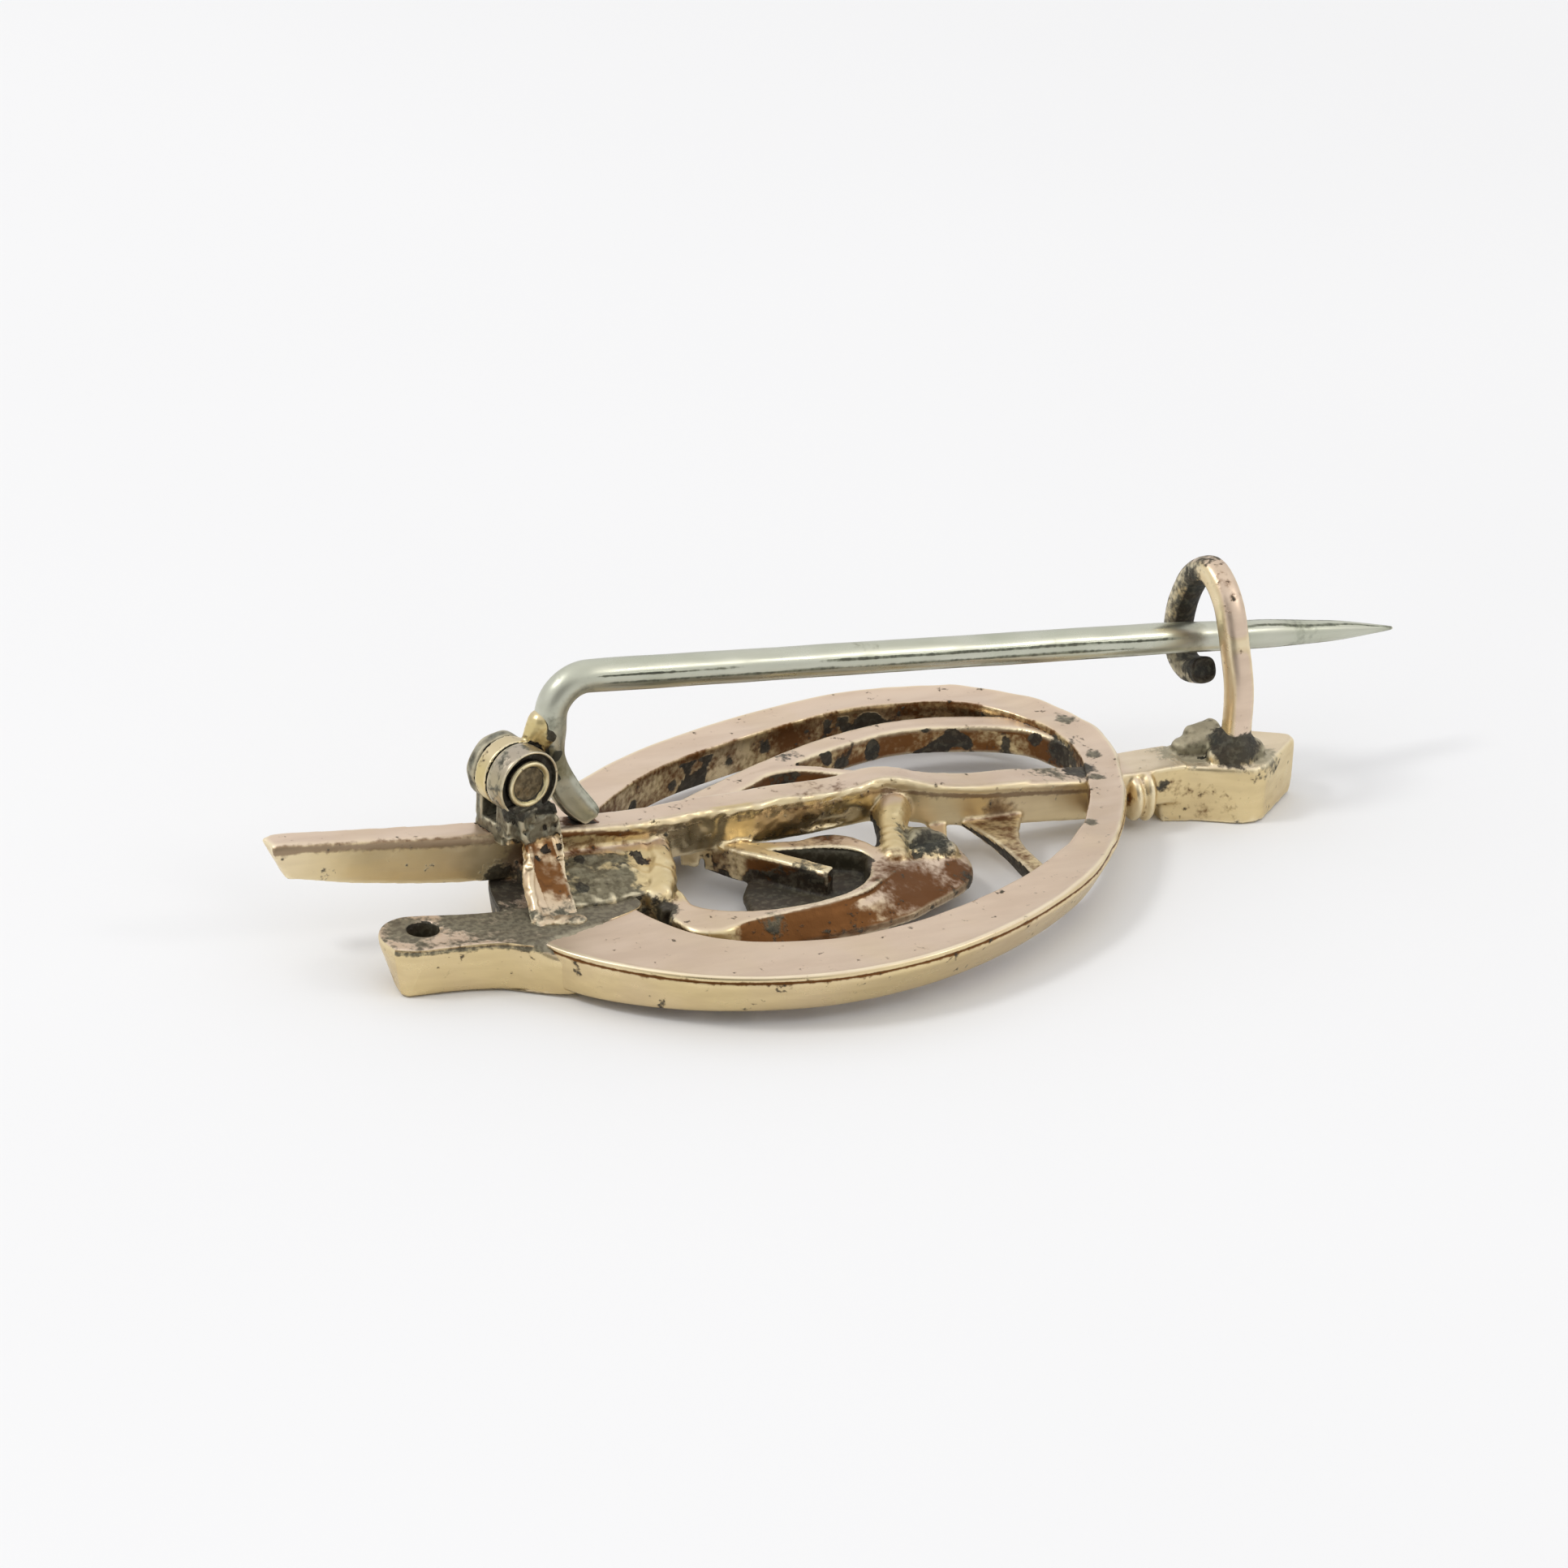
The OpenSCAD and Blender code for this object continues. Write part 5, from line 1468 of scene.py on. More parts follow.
@dataclass
class CatchHook:
    """Wire hook, flattened on its outer side, with its inner side painted dark as shade and
    tarnish, and a hollow end painted dark as shade.
    """

    radius: float = 0.42
    place: tuple[float, float] = (11.75, 0.35)
    turn: float = 5.0
    sides: int = 20
    # its section is a little square: powers of cosine and sine, and thickness over width
    powers: tuple[float, float] = (0.72, 0.85)
    thin: float = 0.95
    # how far each ring of the hollow end shrinks, which ring it copies and how far it moves on
    hollow: Rows = (
        (0.93, -1, 0.035), (0.74, -2, 0.03), (0.62, -3, -0.12),
    )
    # way along its plane, height
    rows: Rows = (
        (-0.40, 1.30), (-0.46, 2.40), (-0.42, 3.60), (-0.05, 4.80), (0.50, 6.00), (1.40, 6.60),
        (2.25, 6.10), (2.80, 5.05), (2.95, 4.05), (2.72, 3.42), (2.15, 3.18), (1.45, 3.40),
    )
    # its far half, its foot, its lower loop, its post and the middle of its end
    far: Zone = Zone(y=(1.2, 2.1, None, None))
    base: Zone = Zone(z=(None, None, 2.0, 2.55))
    loop: Zone = Zone(y=(1.7, 2.6, None, None), z=(None, None, 3.9, 4.9))
    post: Zone = Zone(y=(None, None, 0.2, 0.6), z=(None, None, 4.6, 5.4))
    tip: tuple[float, float, float] = (11.65, 1.80, 3.42)

    def make(self) -> Piece:
        """Builds the hook."""
        path = through(self.rows, 9)
        spin = Matrix.Translation((*self.place, 0)) @ turned(self.turn)
        rings = []
        for (y, z), way in zip(path, ways(path)):
            out = Vector((0, -way[1], way[0]))
            ring = []
            for k in range(self.sides):
                a = math.tau * (k + 0.5) / self.sides
                u = rounded(math.cos(a), self.powers[0]) * self.radius * self.thin
                v = rounded(math.sin(a), self.powers[1]) * self.radius
                ring.append(spin @ (Vector((v, y, z)) + out * u))
            rings.append(ring)
        # hollow end: a narrow rim and a sunken floor
        end = sum(rings[-1], Vector()) / self.sides
        way = (rings[-1][0] - rings[-2][0]).normalized()
        for share, ring, on in self.hollow:
            rings.append([end + (p - end) * share + way * on for p in rings[ring]])
        bm = bmesh.new()
        Skin(bm).grow(rings)
        piece = Piece("catch_hook", bm)
        piece.refine()
        return piece.swell(lambda p, n: 0.008 * ripple(p, 0.8, 12) + 0.004 * ripple(p, 0.25, 13))

    def dress(self, piece: Piece, patina_and_shade: Patina_and_shade) -> None:
        """Paints the inner side dark with soot and painted shade, the hollow end dark as shade, and
        painted reflection as yellow edges and a pink outer face.
        """
        paint = Paint(piece, patina_and_shade, (0.0, 0.0, 0.0))
        places = paint.places
        hub = np.array([self.place[0], self.place[1] + 1.3, 4.9])
        inward = (hub - places) / np.linalg.norm(hub - places, axis=1, keepdims=True)
        inner = (inward * paint.normals).sum(1)
        far = self.far.mask(places)
        end = lengths(places - np.array(self.tip))
        # the inner side dark: painted shade with soot; the hollow end painted dark as shade
        paint.add(Stain.SOOT_AND_SHADE, np.maximum(ease(inner, 0.15, 0.75) * (0.30 + 0.85 * far), 0.42 * far))
        paint.add(Stain.SOOT_AND_SHADE, ease(end, 0.62, 0.42))
        paint.add(Stain.SOOT_AND_SHADE, self.base.mask(places))
        paint.add(Stain.GREY, np.maximum(0.80 * self.loop.mask(places), 0.62 * far))
        paint.add(Stain.BROWN, np.where(inner > 0.2, 0.75, 0.08 + 0.22 * paint.ripple(0.9, 14)))
        post = self.post.mask(places)
        # the pink outer face and the bright yellow edges beside it are painted reflection
        outward = np.maximum(-inner * (1 - post), -paint.normals[:, 1] * post)
        outer = ease(outward, 0.70, 0.93)
        edge = 0.5 * ease(outward, 0.2, 0.45) * ease(outward, 0.80, 0.55)
        paint.finish(edge, pink=0.15 + 0.8 * outer, gloss=0.75 - 0.25 * outer)


# The hinge and the pin


@dataclass(frozen=True)
class HingePlace:
    """Where the hinge's axis stands, and the two frames that turn with it."""

    x: float = -11.11
    y: float = -0.50
    z: float = 4.75
    skew: float = 14.0
    pin_skew: float = 5.5
    pin_middle: float = 0.165
    # way along the axis where the far knuckle begins
    far_side: float = 0.42

    def axis(self) -> Matrix:
        """Returns the frame whose Y axis is the hinge's axis."""
        return Matrix.Translation((self.x, self.y, self.z)) @ turned(self.skew)

    def local(self, places: np.ndarray) -> np.ndarray:
        """Returns places in the frame of the hinge's axis, a row each."""
        inward = self.axis().inverted()
        return np.array([inward @ Vector(p) for p in places])

    def pin(self) -> Matrix:
        """Returns the frame whose XZ plane is the pin's own plane."""
        middle = Matrix.Translation((0, self.pin_middle, 0))
        return self.axis() @ middle @ turned(self.pin_skew - self.skew)


HINGE_PLACE = HingePlace()


def worn_and_shaded_paint(piece: Piece, patina_and_shade: Patina_and_shade, base: Point, extra: Sequence[np.ndarray] = ()) -> None:
    """Paints an old small part: painted shade with tarnish in its corners, and bright worn edges
    that are also painted highlights.

    Args:
        piece: what is painted.
        patina_and_shade: shade and stains.
        base: grey, brown and soot that lie all over.
        extra: columns of grey, brown and soot that are laid over the base.
    """
    paint = Paint(piece, patina_and_shade, base)
    for kind, column in zip(Stain, extra):
        paint.add(kind, column)
    # painted shade in the corners, with tarnish
    paint.corners(Stain.BROWN, 0.8, low=0.45, high=0.85)
    paint.corners(Stain.SOOT_AND_SHADE, 1.0, low=0.72, high=1.0)
    # bright worn edges, painted as highlights and weaker in shade; pink on the upward faces, partly
    # a painted reflection
    edge = ease(piece.crest(), 0.03, 0.12) * (1 - 0.8 * ease(paint.shade, 0.3, 0.7))
    paint.finish(0.6 * edge, pink=0.5 * paint.facing(Side.UP, 0.3, 0.8) + 0.2, gloss=0.45)


@dataclass
class HingeBracket:
    """Pitted strap, saddle and far leg that carry the two fixed knuckles."""

    voxel: float = 0.042
    saddle: float = 2.865
    # x, y, z, width, turn
    strap: Rows = (
        (-10.72, -1.42, 4.00, 1.26, 12), (-10.62, -1.42, 3.60, 1.30, 12),
        (-10.55, -1.42, 3.25, 1.30, 12), (-10.44, -1.46, 2.92, 1.18, 10),
        (-10.58, -1.95, 2.60, 1.20, 12), (-10.75, -2.45, 2.30, 1.28, 14),
        (-10.80, -3.00, 1.95, 1.36, 17), (-10.85, -3.55, 1.62, 1.45, 20),
    )
    # its section: side, inset, way back from its face
    strap_section: Rows = (
        (-1, 0.0, 0.02), (-1, 0.05, -0.04), (-1, 0.13, -0.04), (-1, 0.22, 0.06), (0, 0.0, 0.08),
        (1, 0.22, 0.06), (1, 0.13, -0.04), (1, 0.05, -0.04), (1, 0.0, 0.02), (1, 0.0, 0.36),
        (1, 0.06, 0.42), (-1, 0.06, 0.42), (-1, 0.0, 0.36),
    )
    # the near and the far knuckle: distance from the axis, way along it
    knuckle: Rows = (
        (0.972, -0.80), (0.98, -0.70), (0.98, -0.28), (0.965, -0.16), (0.93, -0.122),
        (0.66, -0.12), (0.625, -0.16), (0.62, -0.60), (0.66, -0.655), (0.84, -0.66),
        (0.875, -0.70), (0.885, -0.80), (0.90, -0.845), (0.935, -0.858), (0.962, -0.84),
    )
    barrel: Rows = (
        (0.975, 0.56), (0.975, 0.78), (0.94, 0.85), (0.86, 0.86), (0.68, 0.85), (0.62, 0.82),
        (0.62, 0.50), (0.66, 0.46), (0.90, 0.455), (0.955, 0.49),
    )

    # x, y and z of the saddle, the far leg, the near flank and the block under it
    blocks: tuple[tuple[Point, Point, Point], ...] = (
        ((-0.60, 0.60), (-0.45, 0.75), (-0.02, 0.53)), ((-0.64, 0.60), (0.50, 0.80), (0.0, 1.46)),
        ((-0.64, 0.48), (-0.78, -0.18), (0.30, 1.30)), ((-0.50, 0.55), (-0.62, -0.30), (0.0, 0.60)),
    )

    def knuckles(self) -> Piece:
        """Builds both fixed knuckles; the near one is turned hollow round the rivet's head."""
        bm = bmesh.new()
        place = HINGE_PLACE.axis()
        skin = Skin(bm)
        skin.grow([circle(r, y, 72, place) for r, y in self.knuckle], closed=True)
        skin.grow([circle(r, y, 64, place) for r, y in self.barrel], closed=True)
        piece = Piece("fixed_knuckles", bm)
        piece.refine()
        return piece.swell(self.wear)

    @staticmethod
    def wear(places: np.ndarray, normals: np.ndarray) -> np.ndarray:
        """Lumps on the far knuckle and slight wear on the near one."""
        far = HINGE_PLACE.local(places)[:, 1] > HINGE_PLACE.far_side
        amount = np.where(far, 0.038, 0.007)
        return amount * (ripple(places, 0.45, 21) - 0.4 * far)

    def section(self, row: Point) -> Ring:
        """Returns the strap's section: raised edges on the near side, flat behind."""
        x, y, z, width, turn = row
        place = Matrix.Translation((x, y, z)) @ turned(turn)
        return [place @ Vector((side * (width / 2 - inset), deep, 0))
                for side, inset, deep in self.strap_section]

    def legs(self) -> Piece:
        """Builds strap, saddle, flank and far leg as one lumpy casting."""
        bm = bmesh.new()
        skin = Skin(bm)
        skin.grow([self.section(row) for row in through(self.strap, 6)])
        base = Matrix.Translation((HINGE_PLACE.x, HINGE_PLACE.y, self.saddle))
        for x, y, z in self.blocks:
            skin.block(x, y, z, base @ turned(HINGE_PLACE.skew))
        skin.beads((-11.2, -3.50, 1.66), (-10.45, -3.72, 1.66), (1, 1), 3, (0.36, 0.26, 0.13))
        piece = Piece("hinge_strap", bm)
        piece.fuse(self.voxel, 3)
        return piece.swell(self.pits)

    @staticmethod
    def pits(places: np.ndarray, normals: np.ndarray) -> np.ndarray:
        """Casting pits, deepest at the strap's neck."""
        neck = np.exp(-((places[:, 2] - 3.3) / 0.6) ** 2) * ease(-places[:, 1], 1.0, 1.3)
        holes = ease(ripple(places, 0.22, 22), 0.15, 0.55)
        return 0.014 * ripple(places, 0.30, 23) - (0.02 + 0.08 * neck) * holes

    def dress(self, knuckles: Piece, legs: Piece, patina_and_shade: Patina_and_shade) -> None:
        """Paints a cream ring, a lumpy grey far knuckle, a pitted brown strap, and painted shade in
        the recess round the rivet's head and under the near knuckle.
        """
        local = HINGE_PLACE.local(knuckles.places())
        far = (local[:, 1] > HINGE_PLACE.far_side).astype(float)
        ring = lengths(local[:, [0, 2]])
        # the recess round the rivet's head and the near knuckle's underside are painted dark as
        # shade
        recess = (ring < 0.90) * (local[:, 1] > -0.83) * (1 - far)
        under = ease(-local[:, 2], 0.45, 0.85) * (1 - far)
        worn_and_shaded_paint(knuckles, patina_and_shade, (0.12, 0.05, 0.0),
                   (0.75 * far + 0.35 * (1 - far) * (local[:, 0] < 0.2), 0.3 * far,
                    np.maximum(recess, 0.85 * under)))
        places = legs.places()
        x, y, z = places.T
        strap = ease(y, -0.95, -1.25)
        inner = strap * (np.abs((x + 10.62) * math.cos(math.radians(13))) < 0.42)
        neck = ease(z, 2.9, 3.2) * strap
        foot = ease(z, 2.05, 1.8) * strap
        blotchy = 0.72 + 0.40 * ripple(places, 0.32, 27)
        brown = blotchy * inner * ease(z, 3.2, 2.9) * (1 - foot) + 0.25 * foot
        soot_and_shade = np.maximum(0.55 * neck * ripple(places, 0.3, 24), (1 - strap) * 0.25)
        top = 0.62 + 0.3 * ripple(places, 0.4, 44)
        soot_and_shade = np.maximum(soot_and_shade, top * ease(z, 3.55, 3.85) * strap)
        grey = 0.8 * neck + 1.30 * (1 - strap) + 0.45 * foot
        worn_and_shaded_paint(legs, patina_and_shade, (0.05, 0.08, 0.0), (grey, brown, soot_and_shade))


@dataclass
class Rivet:
    """Rivet with a rolled cream rim round a rough sunken core."""

    # distance from the axis, way along it
    profile: Rows = (
        (0.02, -0.80), (0.20, -0.805), (0.36, -0.80), (0.47, -0.79), (0.515, -0.80),
        (0.535, -0.85), (0.57, -0.888), (0.61, -0.898), (0.65, -0.885), (0.675, -0.84),
        (0.68, -0.76), (0.67, -0.70), (0.60, -0.675), (0.58, -0.64), (0.58, 0.86),
        (0.54, 0.905), (0.40, 0.915), (0.02, 0.915),
    )

    def make(self) -> Piece:
        """Builds the rivet."""
        bm = bmesh.new()
        Skin(bm).grow([circle(r, y, 56, HINGE_PLACE.axis()) for r, y in self.profile])
        piece = Piece("rivet", bm)
        piece.refine()

        def rough(places: np.ndarray, normals: np.ndarray) -> np.ndarray:
            """Rough core, worn rim."""
            local = HINGE_PLACE.local(places)
            core = (lengths(local[:, [0, 2]]) < 0.52) * (local[:, 1] < 0)
            return (0.006 + 0.03 * core) * ripple(places, 0.2, 25)

        return piece.swell(rough)

    def dress(self, piece: Piece, patina_and_shade: Patina_and_shade) -> None:
        """Paints the core grey-brown and leaves the rim cream."""
        local = HINGE_PLACE.local(piece.places())
        ring, head = lengths(local[:, [0, 2]]), local[:, 1] < 0
        core = (1 - ease(ring, 0.48, 0.54)) * head
        corner = streak(ring, 0.50, 0.03) * head
        worn_and_shaded_paint(piece, patina_and_shade, (0.0, 0.0, 0.0), (0.6 * core, 0.75 * core, 0.8 * corner))


@dataclass
class PinWire:
    """Pin: drawn wire bent over at its stem, with a flattened ribbed toe and a long point."""

    sides: int = 28
    bend_steps: int = 12
    middle: tuple[float, float] = (2.30, 1.40)
    bend: float = 1.03
    fall: float = 7.5
    bend_thick: float = 0.465
    # where the point begins along the shaft; ribs round the toe and their depth
    point: float = 19.2
    ribs: int = 7
    rib: float = 0.05
    # x, z, half thickness, half width
    tail: Rows = (
        (2.53, -1.855, 0.28, 0.36), (2.49, -1.80, 0.34, 0.39), (2.37, -1.66, 0.38, 0.40),
        (2.13, -1.40, 0.42, 0.39), (1.80, -0.97, 0.43, 0.38), (1.52, -0.42, 0.41, 0.37),
        (1.39, 0.10, 0.34, 0.38), (1.34, 0.50, 0.35, 0.40), (1.30, 0.90, 0.43, 0.44),
        (1.27, 1.25, 0.46, 0.46),
    )
    # way along the shaft, radius
    shaft: Rows = (
        (0.5, 0.47), (3.0, 0.47), (6.0, 0.465), (9.0, 0.47), (12.0, 0.465), (15.0, 0.47),
        (17.5, 0.468), (19.2, 0.462), (20.6, 0.45), (21.8, 0.435), (22.9, 0.42), (24.2, 0.36),
        (25.4, 0.29), (26.4, 0.18), (27.1, 0.095), (27.42, 0.045),
    )
    # the straight shaft, the ribbed toe and the stem's foot at the knuckle
    straight: Zone = Zone(x=(-9.0, -8.2, None, None), z=(4.6, 4.9, None, None))
    toe: Zone = Zone(z=(None, None, 4.4, 5.0))
    stem_foot: Zone = Zone(z=(3.9, 4.5, 5.2, 5.9))

    def path(self) -> np.ndarray:
        """Returns rows of x, z, half thickness and half width along the wire."""
        rows = [tuple(row) for row in through(self.tail, 4)]
        last = 90 - self.fall
        for k in range(self.bend_steps + 1):
            a = math.radians(180 - k * (180 - last) / self.bend_steps)
            rows.append((self.middle[0] + self.bend * math.cos(a),
                         self.middle[1] + self.bend * math.sin(a),
                         self.bend_thick, self.bend_thick))
        x, z = rows[-1][:2]
        way = math.radians(self.fall)
        tip = math.radians(self.fall + 1)
        for along, radius in through(self.shaft, 3):
            straight, rest = min(along, self.point), max(along - self.point, 0)
            rows.append((x + straight * math.cos(way) + rest * math.cos(tip),
                         z - straight * math.sin(way) - rest * math.sin(tip), radius, radius))
        return np.array(rows)

    def make(self) -> Piece:
        """Builds the wire."""
        rows = self.path()
        place = HINGE_PLACE.pin()
        rings = []
        for (x, z, thick, wide), way in zip(rows, ways(rows)):
            flat = 1 - float(ease(np.array(z), -0.9, 0.4)) if x < 2.7 and z < 1 else 0.0
            ring = []
            for k in range(self.sides):
                a = math.tau * k / self.sides
                rib = 1 + self.rib * flat * math.cos(self.ribs * a)
                power = 1 - 0.38 * flat
                u = rounded(math.cos(a), power) * thick * rib
                v = rounded(math.sin(a), power) * wide * rib
                ring.append(place @ Vector((x - way[1] * u, v, z + way[0] * u)))
            rings.append(ring)
        bm = bmesh.new()
        Skin(bm).grow(rings)
        piece = Piece("pin_wire", bm)
        piece.refine()

        def drawn(places: np.ndarray, normals: np.ndarray) -> np.ndarray:
            """Faint drawing lines and dents of a hand-filed wire."""
            along = places * np.array([0.12, 1, 1])
            return 0.008 * ripple(along, 0.35, 31) + 0.007 * ripple(places, 1.3, 32)

        return piece.swell(drawn)

    def dress(self, piece: Piece, patina_and_shade: Patina_and_shade) -> None:
        """Paints lengthwise tarnish lines, two dark lengthwise bands and a brown underside that are
        painted reflection, a painted highlight along the upper side and a dark stem foot.
        """
        paint = Paint(piece, patina_and_shade, (0.0, 0.0, 0.0))
        up = paint.normals[:, 2]
        lines = paint.ripple(0.16, 33, (0.05, 0.6, 0.6))
        patch = paint.ripple(1.4, 34)
        shaft = self.straight.mask(paint.places)
        front = paint.facing(Side.NEAR, 0.0, 0.2) * shaft
        drift = 0.03 * paint.ripple(1.0, 42, (0.2, 1, 1))
        broken = ease(paint.ripple(0.9, 43, (0.25, 1, 1)), -0.55, -0.1)
        # two dark lengthwise bands on the side towards the camera, placed by the way the normal
        # faces: painted reflection
        thin = front * broken * streak(up - drift, 0.37, 0.085)
        wide = front * streak(up - drift, -0.10, 0.12)
        paint.add(Stain.GREY, shaft * (0.12 + 0.28 * lines) + (1 - shaft) * (0.30 + 0.3 * patch))
        paint.add(Stain.GREY, np.maximum(0.95 * thin, wide * (0.70 + 0.3 * lines)))
        # brown underside: painted reflection of the gold
        under = paint.facing(Side.UNDER, 0.55, 0.9)
        paint.add(Stain.BROWN, 0.15 + 0.25 * lines * shaft + 0.65 * under)
        ribs = np.sin(paint.normals[:, 1] * 9 + 1.5 * patch)
        ribs = ribs * (1 - shaft) * self.toe.mask(paint.places)
        paint.add(Stain.GREY, 0.62 * ease(ribs, 0.1, 0.7))
        foot = self.stem_foot.mask(paint.places) * (paint.places[:, 0] < -9.0)
        paint.add(Stain.BROWN, 0.6 * foot)
        paint.add(Stain.SOOT_AND_SHADE, 0.7 * foot * ease(paint.ripple(0.35, 35), 0.0, 0.35))
        # painted shade in the corners, with tarnish
        paint.corners(Stain.SOOT_AND_SHADE, 0.75, low=0.6, high=0.95)
        paint.add(Stain.SOOT_AND_SHADE, 0.62 * thin + 0.42 * wide)
        paint.add(Stain.SOOT_AND_SHADE, 0.42 * ease(ribs, 0.5, 0.95))
        hook = streak(paint.places[:, 0], 11.2, 0.55) * paint.facing(Side.NEAR, -0.3, 0.3)
        paint.add(Stain.BROWN, 0.45 * hook)
        # painted highlight along the top of the shaft
        glint = 0.55 * streak(up, 0.72, 0.09) * ease(lines, -0.6, 0.2) * shaft
        edge = np.maximum(0.7 * ease(piece.crest(), 0.04, 0.12) * (1 - shaft), glint)
        paint.finish(edge, pink=0.5 + 0.5 * patch, gloss=0.9 * shaft + 0.45 * (1 - shaft))


@dataclass
class PinKnuckle:
    """The pin's own knuckle with the solder that holds it to the stem."""

    outer: float = 0.975
    inner: float = 0.62
    near: float = -0.078
    far: float = 0.408
    voxel: float = 0.036
    # solder up the stem, under it and over the barrel, in the pin's own frame
    solder: tuple[Run, ...] = (
        ((0.90, 0.0, 0.40), (1.16, 0.0, 1.02), (0.20, 0.47), 5),
        ((0.95, 0.0, -0.25), (1.32, 0.0, 0.25), (0.18, 0.24), 5),
        ((0.60, 0.0, 0.84), (0.98, 0.0, 1.28), (0.20, 0.40), 5),
    )

    def make(self) -> Piece:
        """Builds the barrel and its solder as one casting."""
        bm = bmesh.new()
        skin = Skin(bm)
        place = HINGE_PLACE.axis()
        profile = ((self.outer, self.near), (self.outer, self.far),
                   (self.inner, self.far), (self.inner, self.near))
        skin.grow([circle(r, y, 72, place) for r, y in profile], closed=True)
        pin = HINGE_PLACE.pin()
        for start, end, radii, count in self.solder:
            skin.beads(pin @ Vector(start), pin @ Vector(end), radii, count)
        piece = Piece("pin_knuckle", bm)
        piece.fuse(self.voxel, 2)
        return piece.swell(lambda p, n: 0.010 * ripple(p, 0.35, 36) - 0.008)

    def dress(self, piece: Piece, patina_and_shade: Patina_and_shade) -> None:
        """Paints a cream barrel and dark tarnish in the solder."""
        places = piece.places()
        local = HINGE_PLACE.local(places)
        joint = ease(local[:, 0], 0.75, 1.0) * ease(local[:, 2], 0.1, 0.5)
        dark = joint * ease(ripple(places, 0.35, 37), -0.05, 0.3)
        worn_and_shaded_paint(piece, patina_and_shade, (0.0, 0.08, 0.0), (0.2 * joint, 0.55 * joint, 0.9 * dark))


# Camera and light


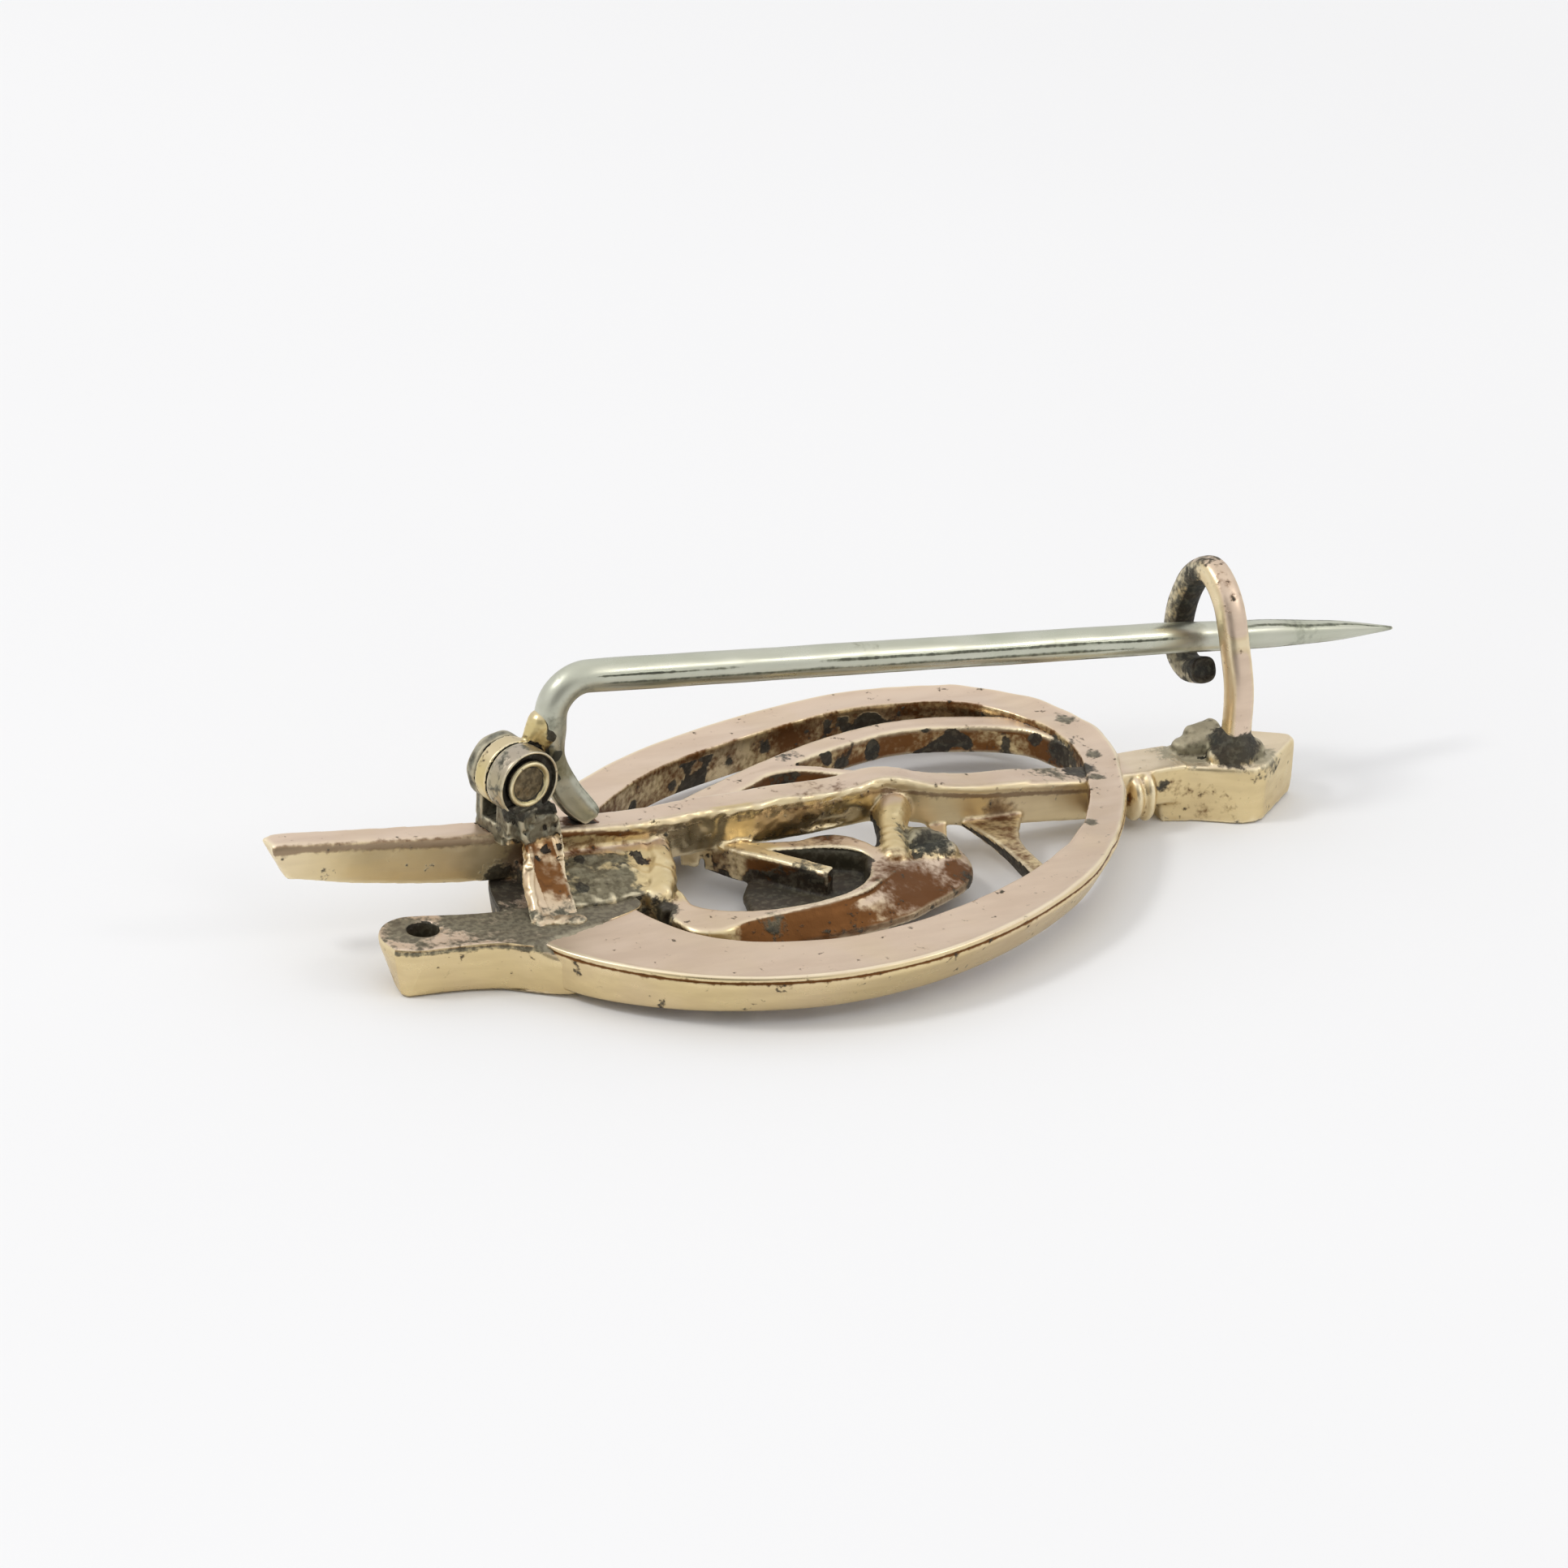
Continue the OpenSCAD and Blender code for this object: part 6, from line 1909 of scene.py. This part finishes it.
@dataclass
class Studio:
    """Pale floor, soft daylight and the camera at the photograph's place."""

    aim: tuple[float, float, float] = (0.0, 5.6, -0.2)
    elevation: float = 26.0
    azimuth: float = -25.0
    roll: float = 2.5
    distance: float = 180.0
    lens: float = 140.87
    floor: str = "f0f0f1"
    floor_drift: str = "ebebec"
    floor_size: float = 1.5
    # the sky low down and overhead, and the dark room behind the camera with its way and share
    horizon: str = "e9e9ea"
    zenith: str = "ffffff"
    sky_strength: float = 0.98
    room: str = "4a4742"
    room_way: tuple[float, float, float] = (-0.38, -0.87, 0.31)
    room_share: float = 0.85
    # name, place and size in metres, power in watts and tint of each lamp
    lamps: tuple[tuple[str, Point, Point, float, str], ...] = (
        ("window", (-0.28, 0.05, 0.36), (0.09, 0.09), 0.46, "fffffe"),
        ("card", (0.30, -0.20, 0.26), (0.08, 0.08), 0.12, "fffcf6"),
    )

    def camera(self) -> None:
        """Places the camera."""
        el, az, roll = (math.radians(a) for a in (self.elevation, self.azimuth, self.roll))
        back = Vector((math.sin(az) * math.cos(el), -math.cos(az) * math.cos(el), math.sin(el)))
        right = Vector((math.cos(az), math.sin(az), 0))
        up = back.cross(right)
        across = math.cos(roll) * right + math.sin(roll) * up
        tall = math.cos(roll) * up - math.sin(roll) * right
        lay = BENCH.lay()
        turn = lay.to_3x3().normalized()
        axes = Matrix([turn @ across, turn @ tall, turn @ back]).transposed().to_4x4()
        camera = bpy.data.cameras.new("camera")
        camera.lens, camera.sensor_width, camera.clip_start = self.lens, 36.0, 0.01
        camera.dof.use_dof = False
        thing = bpy.data.objects.new("camera", camera)
        eye = lay @ (Vector(self.aim) + back * self.distance)
        thing.matrix_world = Matrix.Translation(eye) @ axes
        bpy.context.scene.collection.objects.link(thing)
        bpy.context.scene.camera = thing

    def light(self, name: str, place: Point, size: Point, power: float, tint: str) -> None:
        """Hangs one soft light that faces the brooch.

        Args:
            name: its name.
            place: where it hangs, in metres.
            size: its width and height in metres.
            power: its power in watts.
            tint: its colour.
        """
        lamp = bpy.data.lights.new(name, "AREA")
        lamp.shape, lamp.size, lamp.size_y = "RECTANGLE", size[0], size[1]
        lamp.energy, lamp.color = power, tone(tint)[:3]
        thing = bpy.data.objects.new(name, lamp)
        aim = (-Vector(place)).to_track_quat("-Z", "Y").to_matrix().to_4x4()
        thing.matrix_world = Matrix.Translation(place) @ aim
        bpy.context.scene.collection.objects.link(thing)

    def sky(self) -> None:
        """Lights the room: bright above, greyer at the level of the table."""
        world = bpy.data.worlds.new("room")
        bpy.context.scene.world = world
        world.use_nodes = True
        w = Wiring(world.node_tree)
        split = w.node("SeparateXYZ")
        direction = w.node("TexCoord").outputs["Generated"]
        w.join(direction, split.inputs[0])
        high = w.step(split.outputs["Z"], -0.05, 0.85)
        colour = w.mix(high, tone(self.horizon), tone(self.zenith))
        # the dark room behind the camera
        toward = w.node("VectorMath", operation="DOT_PRODUCT")
        w.join(direction, toward.inputs[0])
        toward.inputs[1].default_value = self.room_way
        dark = w.step(toward.outputs["Value"], 0.80, 0.97)
        colour = w.mix(w.times(dark, self.room_share), colour, tone(self.room))
        shader = world.node_tree.nodes["Background"]
        w.join(colour, shader.inputs["Color"])
        shader.inputs["Strength"].default_value = self.sky_strength

    def stand(self) -> None:
        """Lays the floor."""
        bm = bmesh.new()
        bmesh.ops.create_grid(bm, x_segments=1, y_segments=1, size=self.floor_size)
        mesh = bpy.data.meshes.new("floor")
        bm.to_mesh(mesh)
        bm.free()
        material = bpy.data.materials.new("pale paper")
        material.use_nodes = True
        shader = material.node_tree.nodes["Principled BSDF"]
        w = Wiring(material.node_tree)
        shade = w.mix(w.grain(40, 2), tone(self.floor_drift), tone(self.floor))
        w.join(shade, shader.inputs["Base Color"])
        shader.inputs["Roughness"].default_value = 0.85
        mesh.materials.append(material)
        thing = bpy.data.objects.new("floor", mesh)
        bpy.context.scene.collection.objects.link(thing)

    def make(self) -> None:
        """Sets up everything round the brooch."""
        self.camera()
        self.stand()
        self.sky()
        for lamp in self.lamps:
            self.light(*lamp)
        bpy.context.scene.view_settings.view_transform = "Standard"


def main() -> None:
    """Dresses the brooch and sets it before the camera."""
    logging.basicConfig(level=logging.INFO, format="%(message)s")
    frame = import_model()
    patina_and_shade = Patina_and_shade(frame["nodes"], ("frame", "hinge_bracket", "pin"), BLOTS)
    gold, steel, wire = GOLD.material(), HINGE.material(), WIRE.material()
    for maker in (CrescentBand(), Tab(), BarAndScroll(), CatchHook()):
        piece = maker.make()
        maker.dress(piece, patina_and_shade)
        piece.finish(Body.BROOCH, "gold", gold, ("frame",))
    bracket = HingeBracket()
    knuckles, legs = bracket.knuckles(), bracket.legs()
    bracket.dress(knuckles, legs, patina_and_shade)
    for piece, metal in ((knuckles, steel), (legs, STRAP.material())):
        piece.finish(Body.BROOCH, "hinge_metal", metal, ("hinge_bracket",))
    rivet = Rivet()
    piece = rivet.make()
    rivet.dress(piece, patina_and_shade)
    piece.finish(Body.BROOCH, "rivet_metal", RIVET.material(), ("hinge_rivet",))
    for maker, metal in ((PinWire(), wire), (PinKnuckle(), KNUCKLE.material())):
        piece = maker.make()
        maker.dress(piece, patina_and_shade)
        piece.finish(Body.PIN, "pin_metal", metal, ("pin",))
    pearls = frame["nodes"]["pearls"]
    pearls.data.materials.clear()
    pearls.data.materials.append(PEARL.material())
    log.info("pearls: kept from the solids, with their own finish")
    Studio().make()


if __name__ == "__main__":
    main()
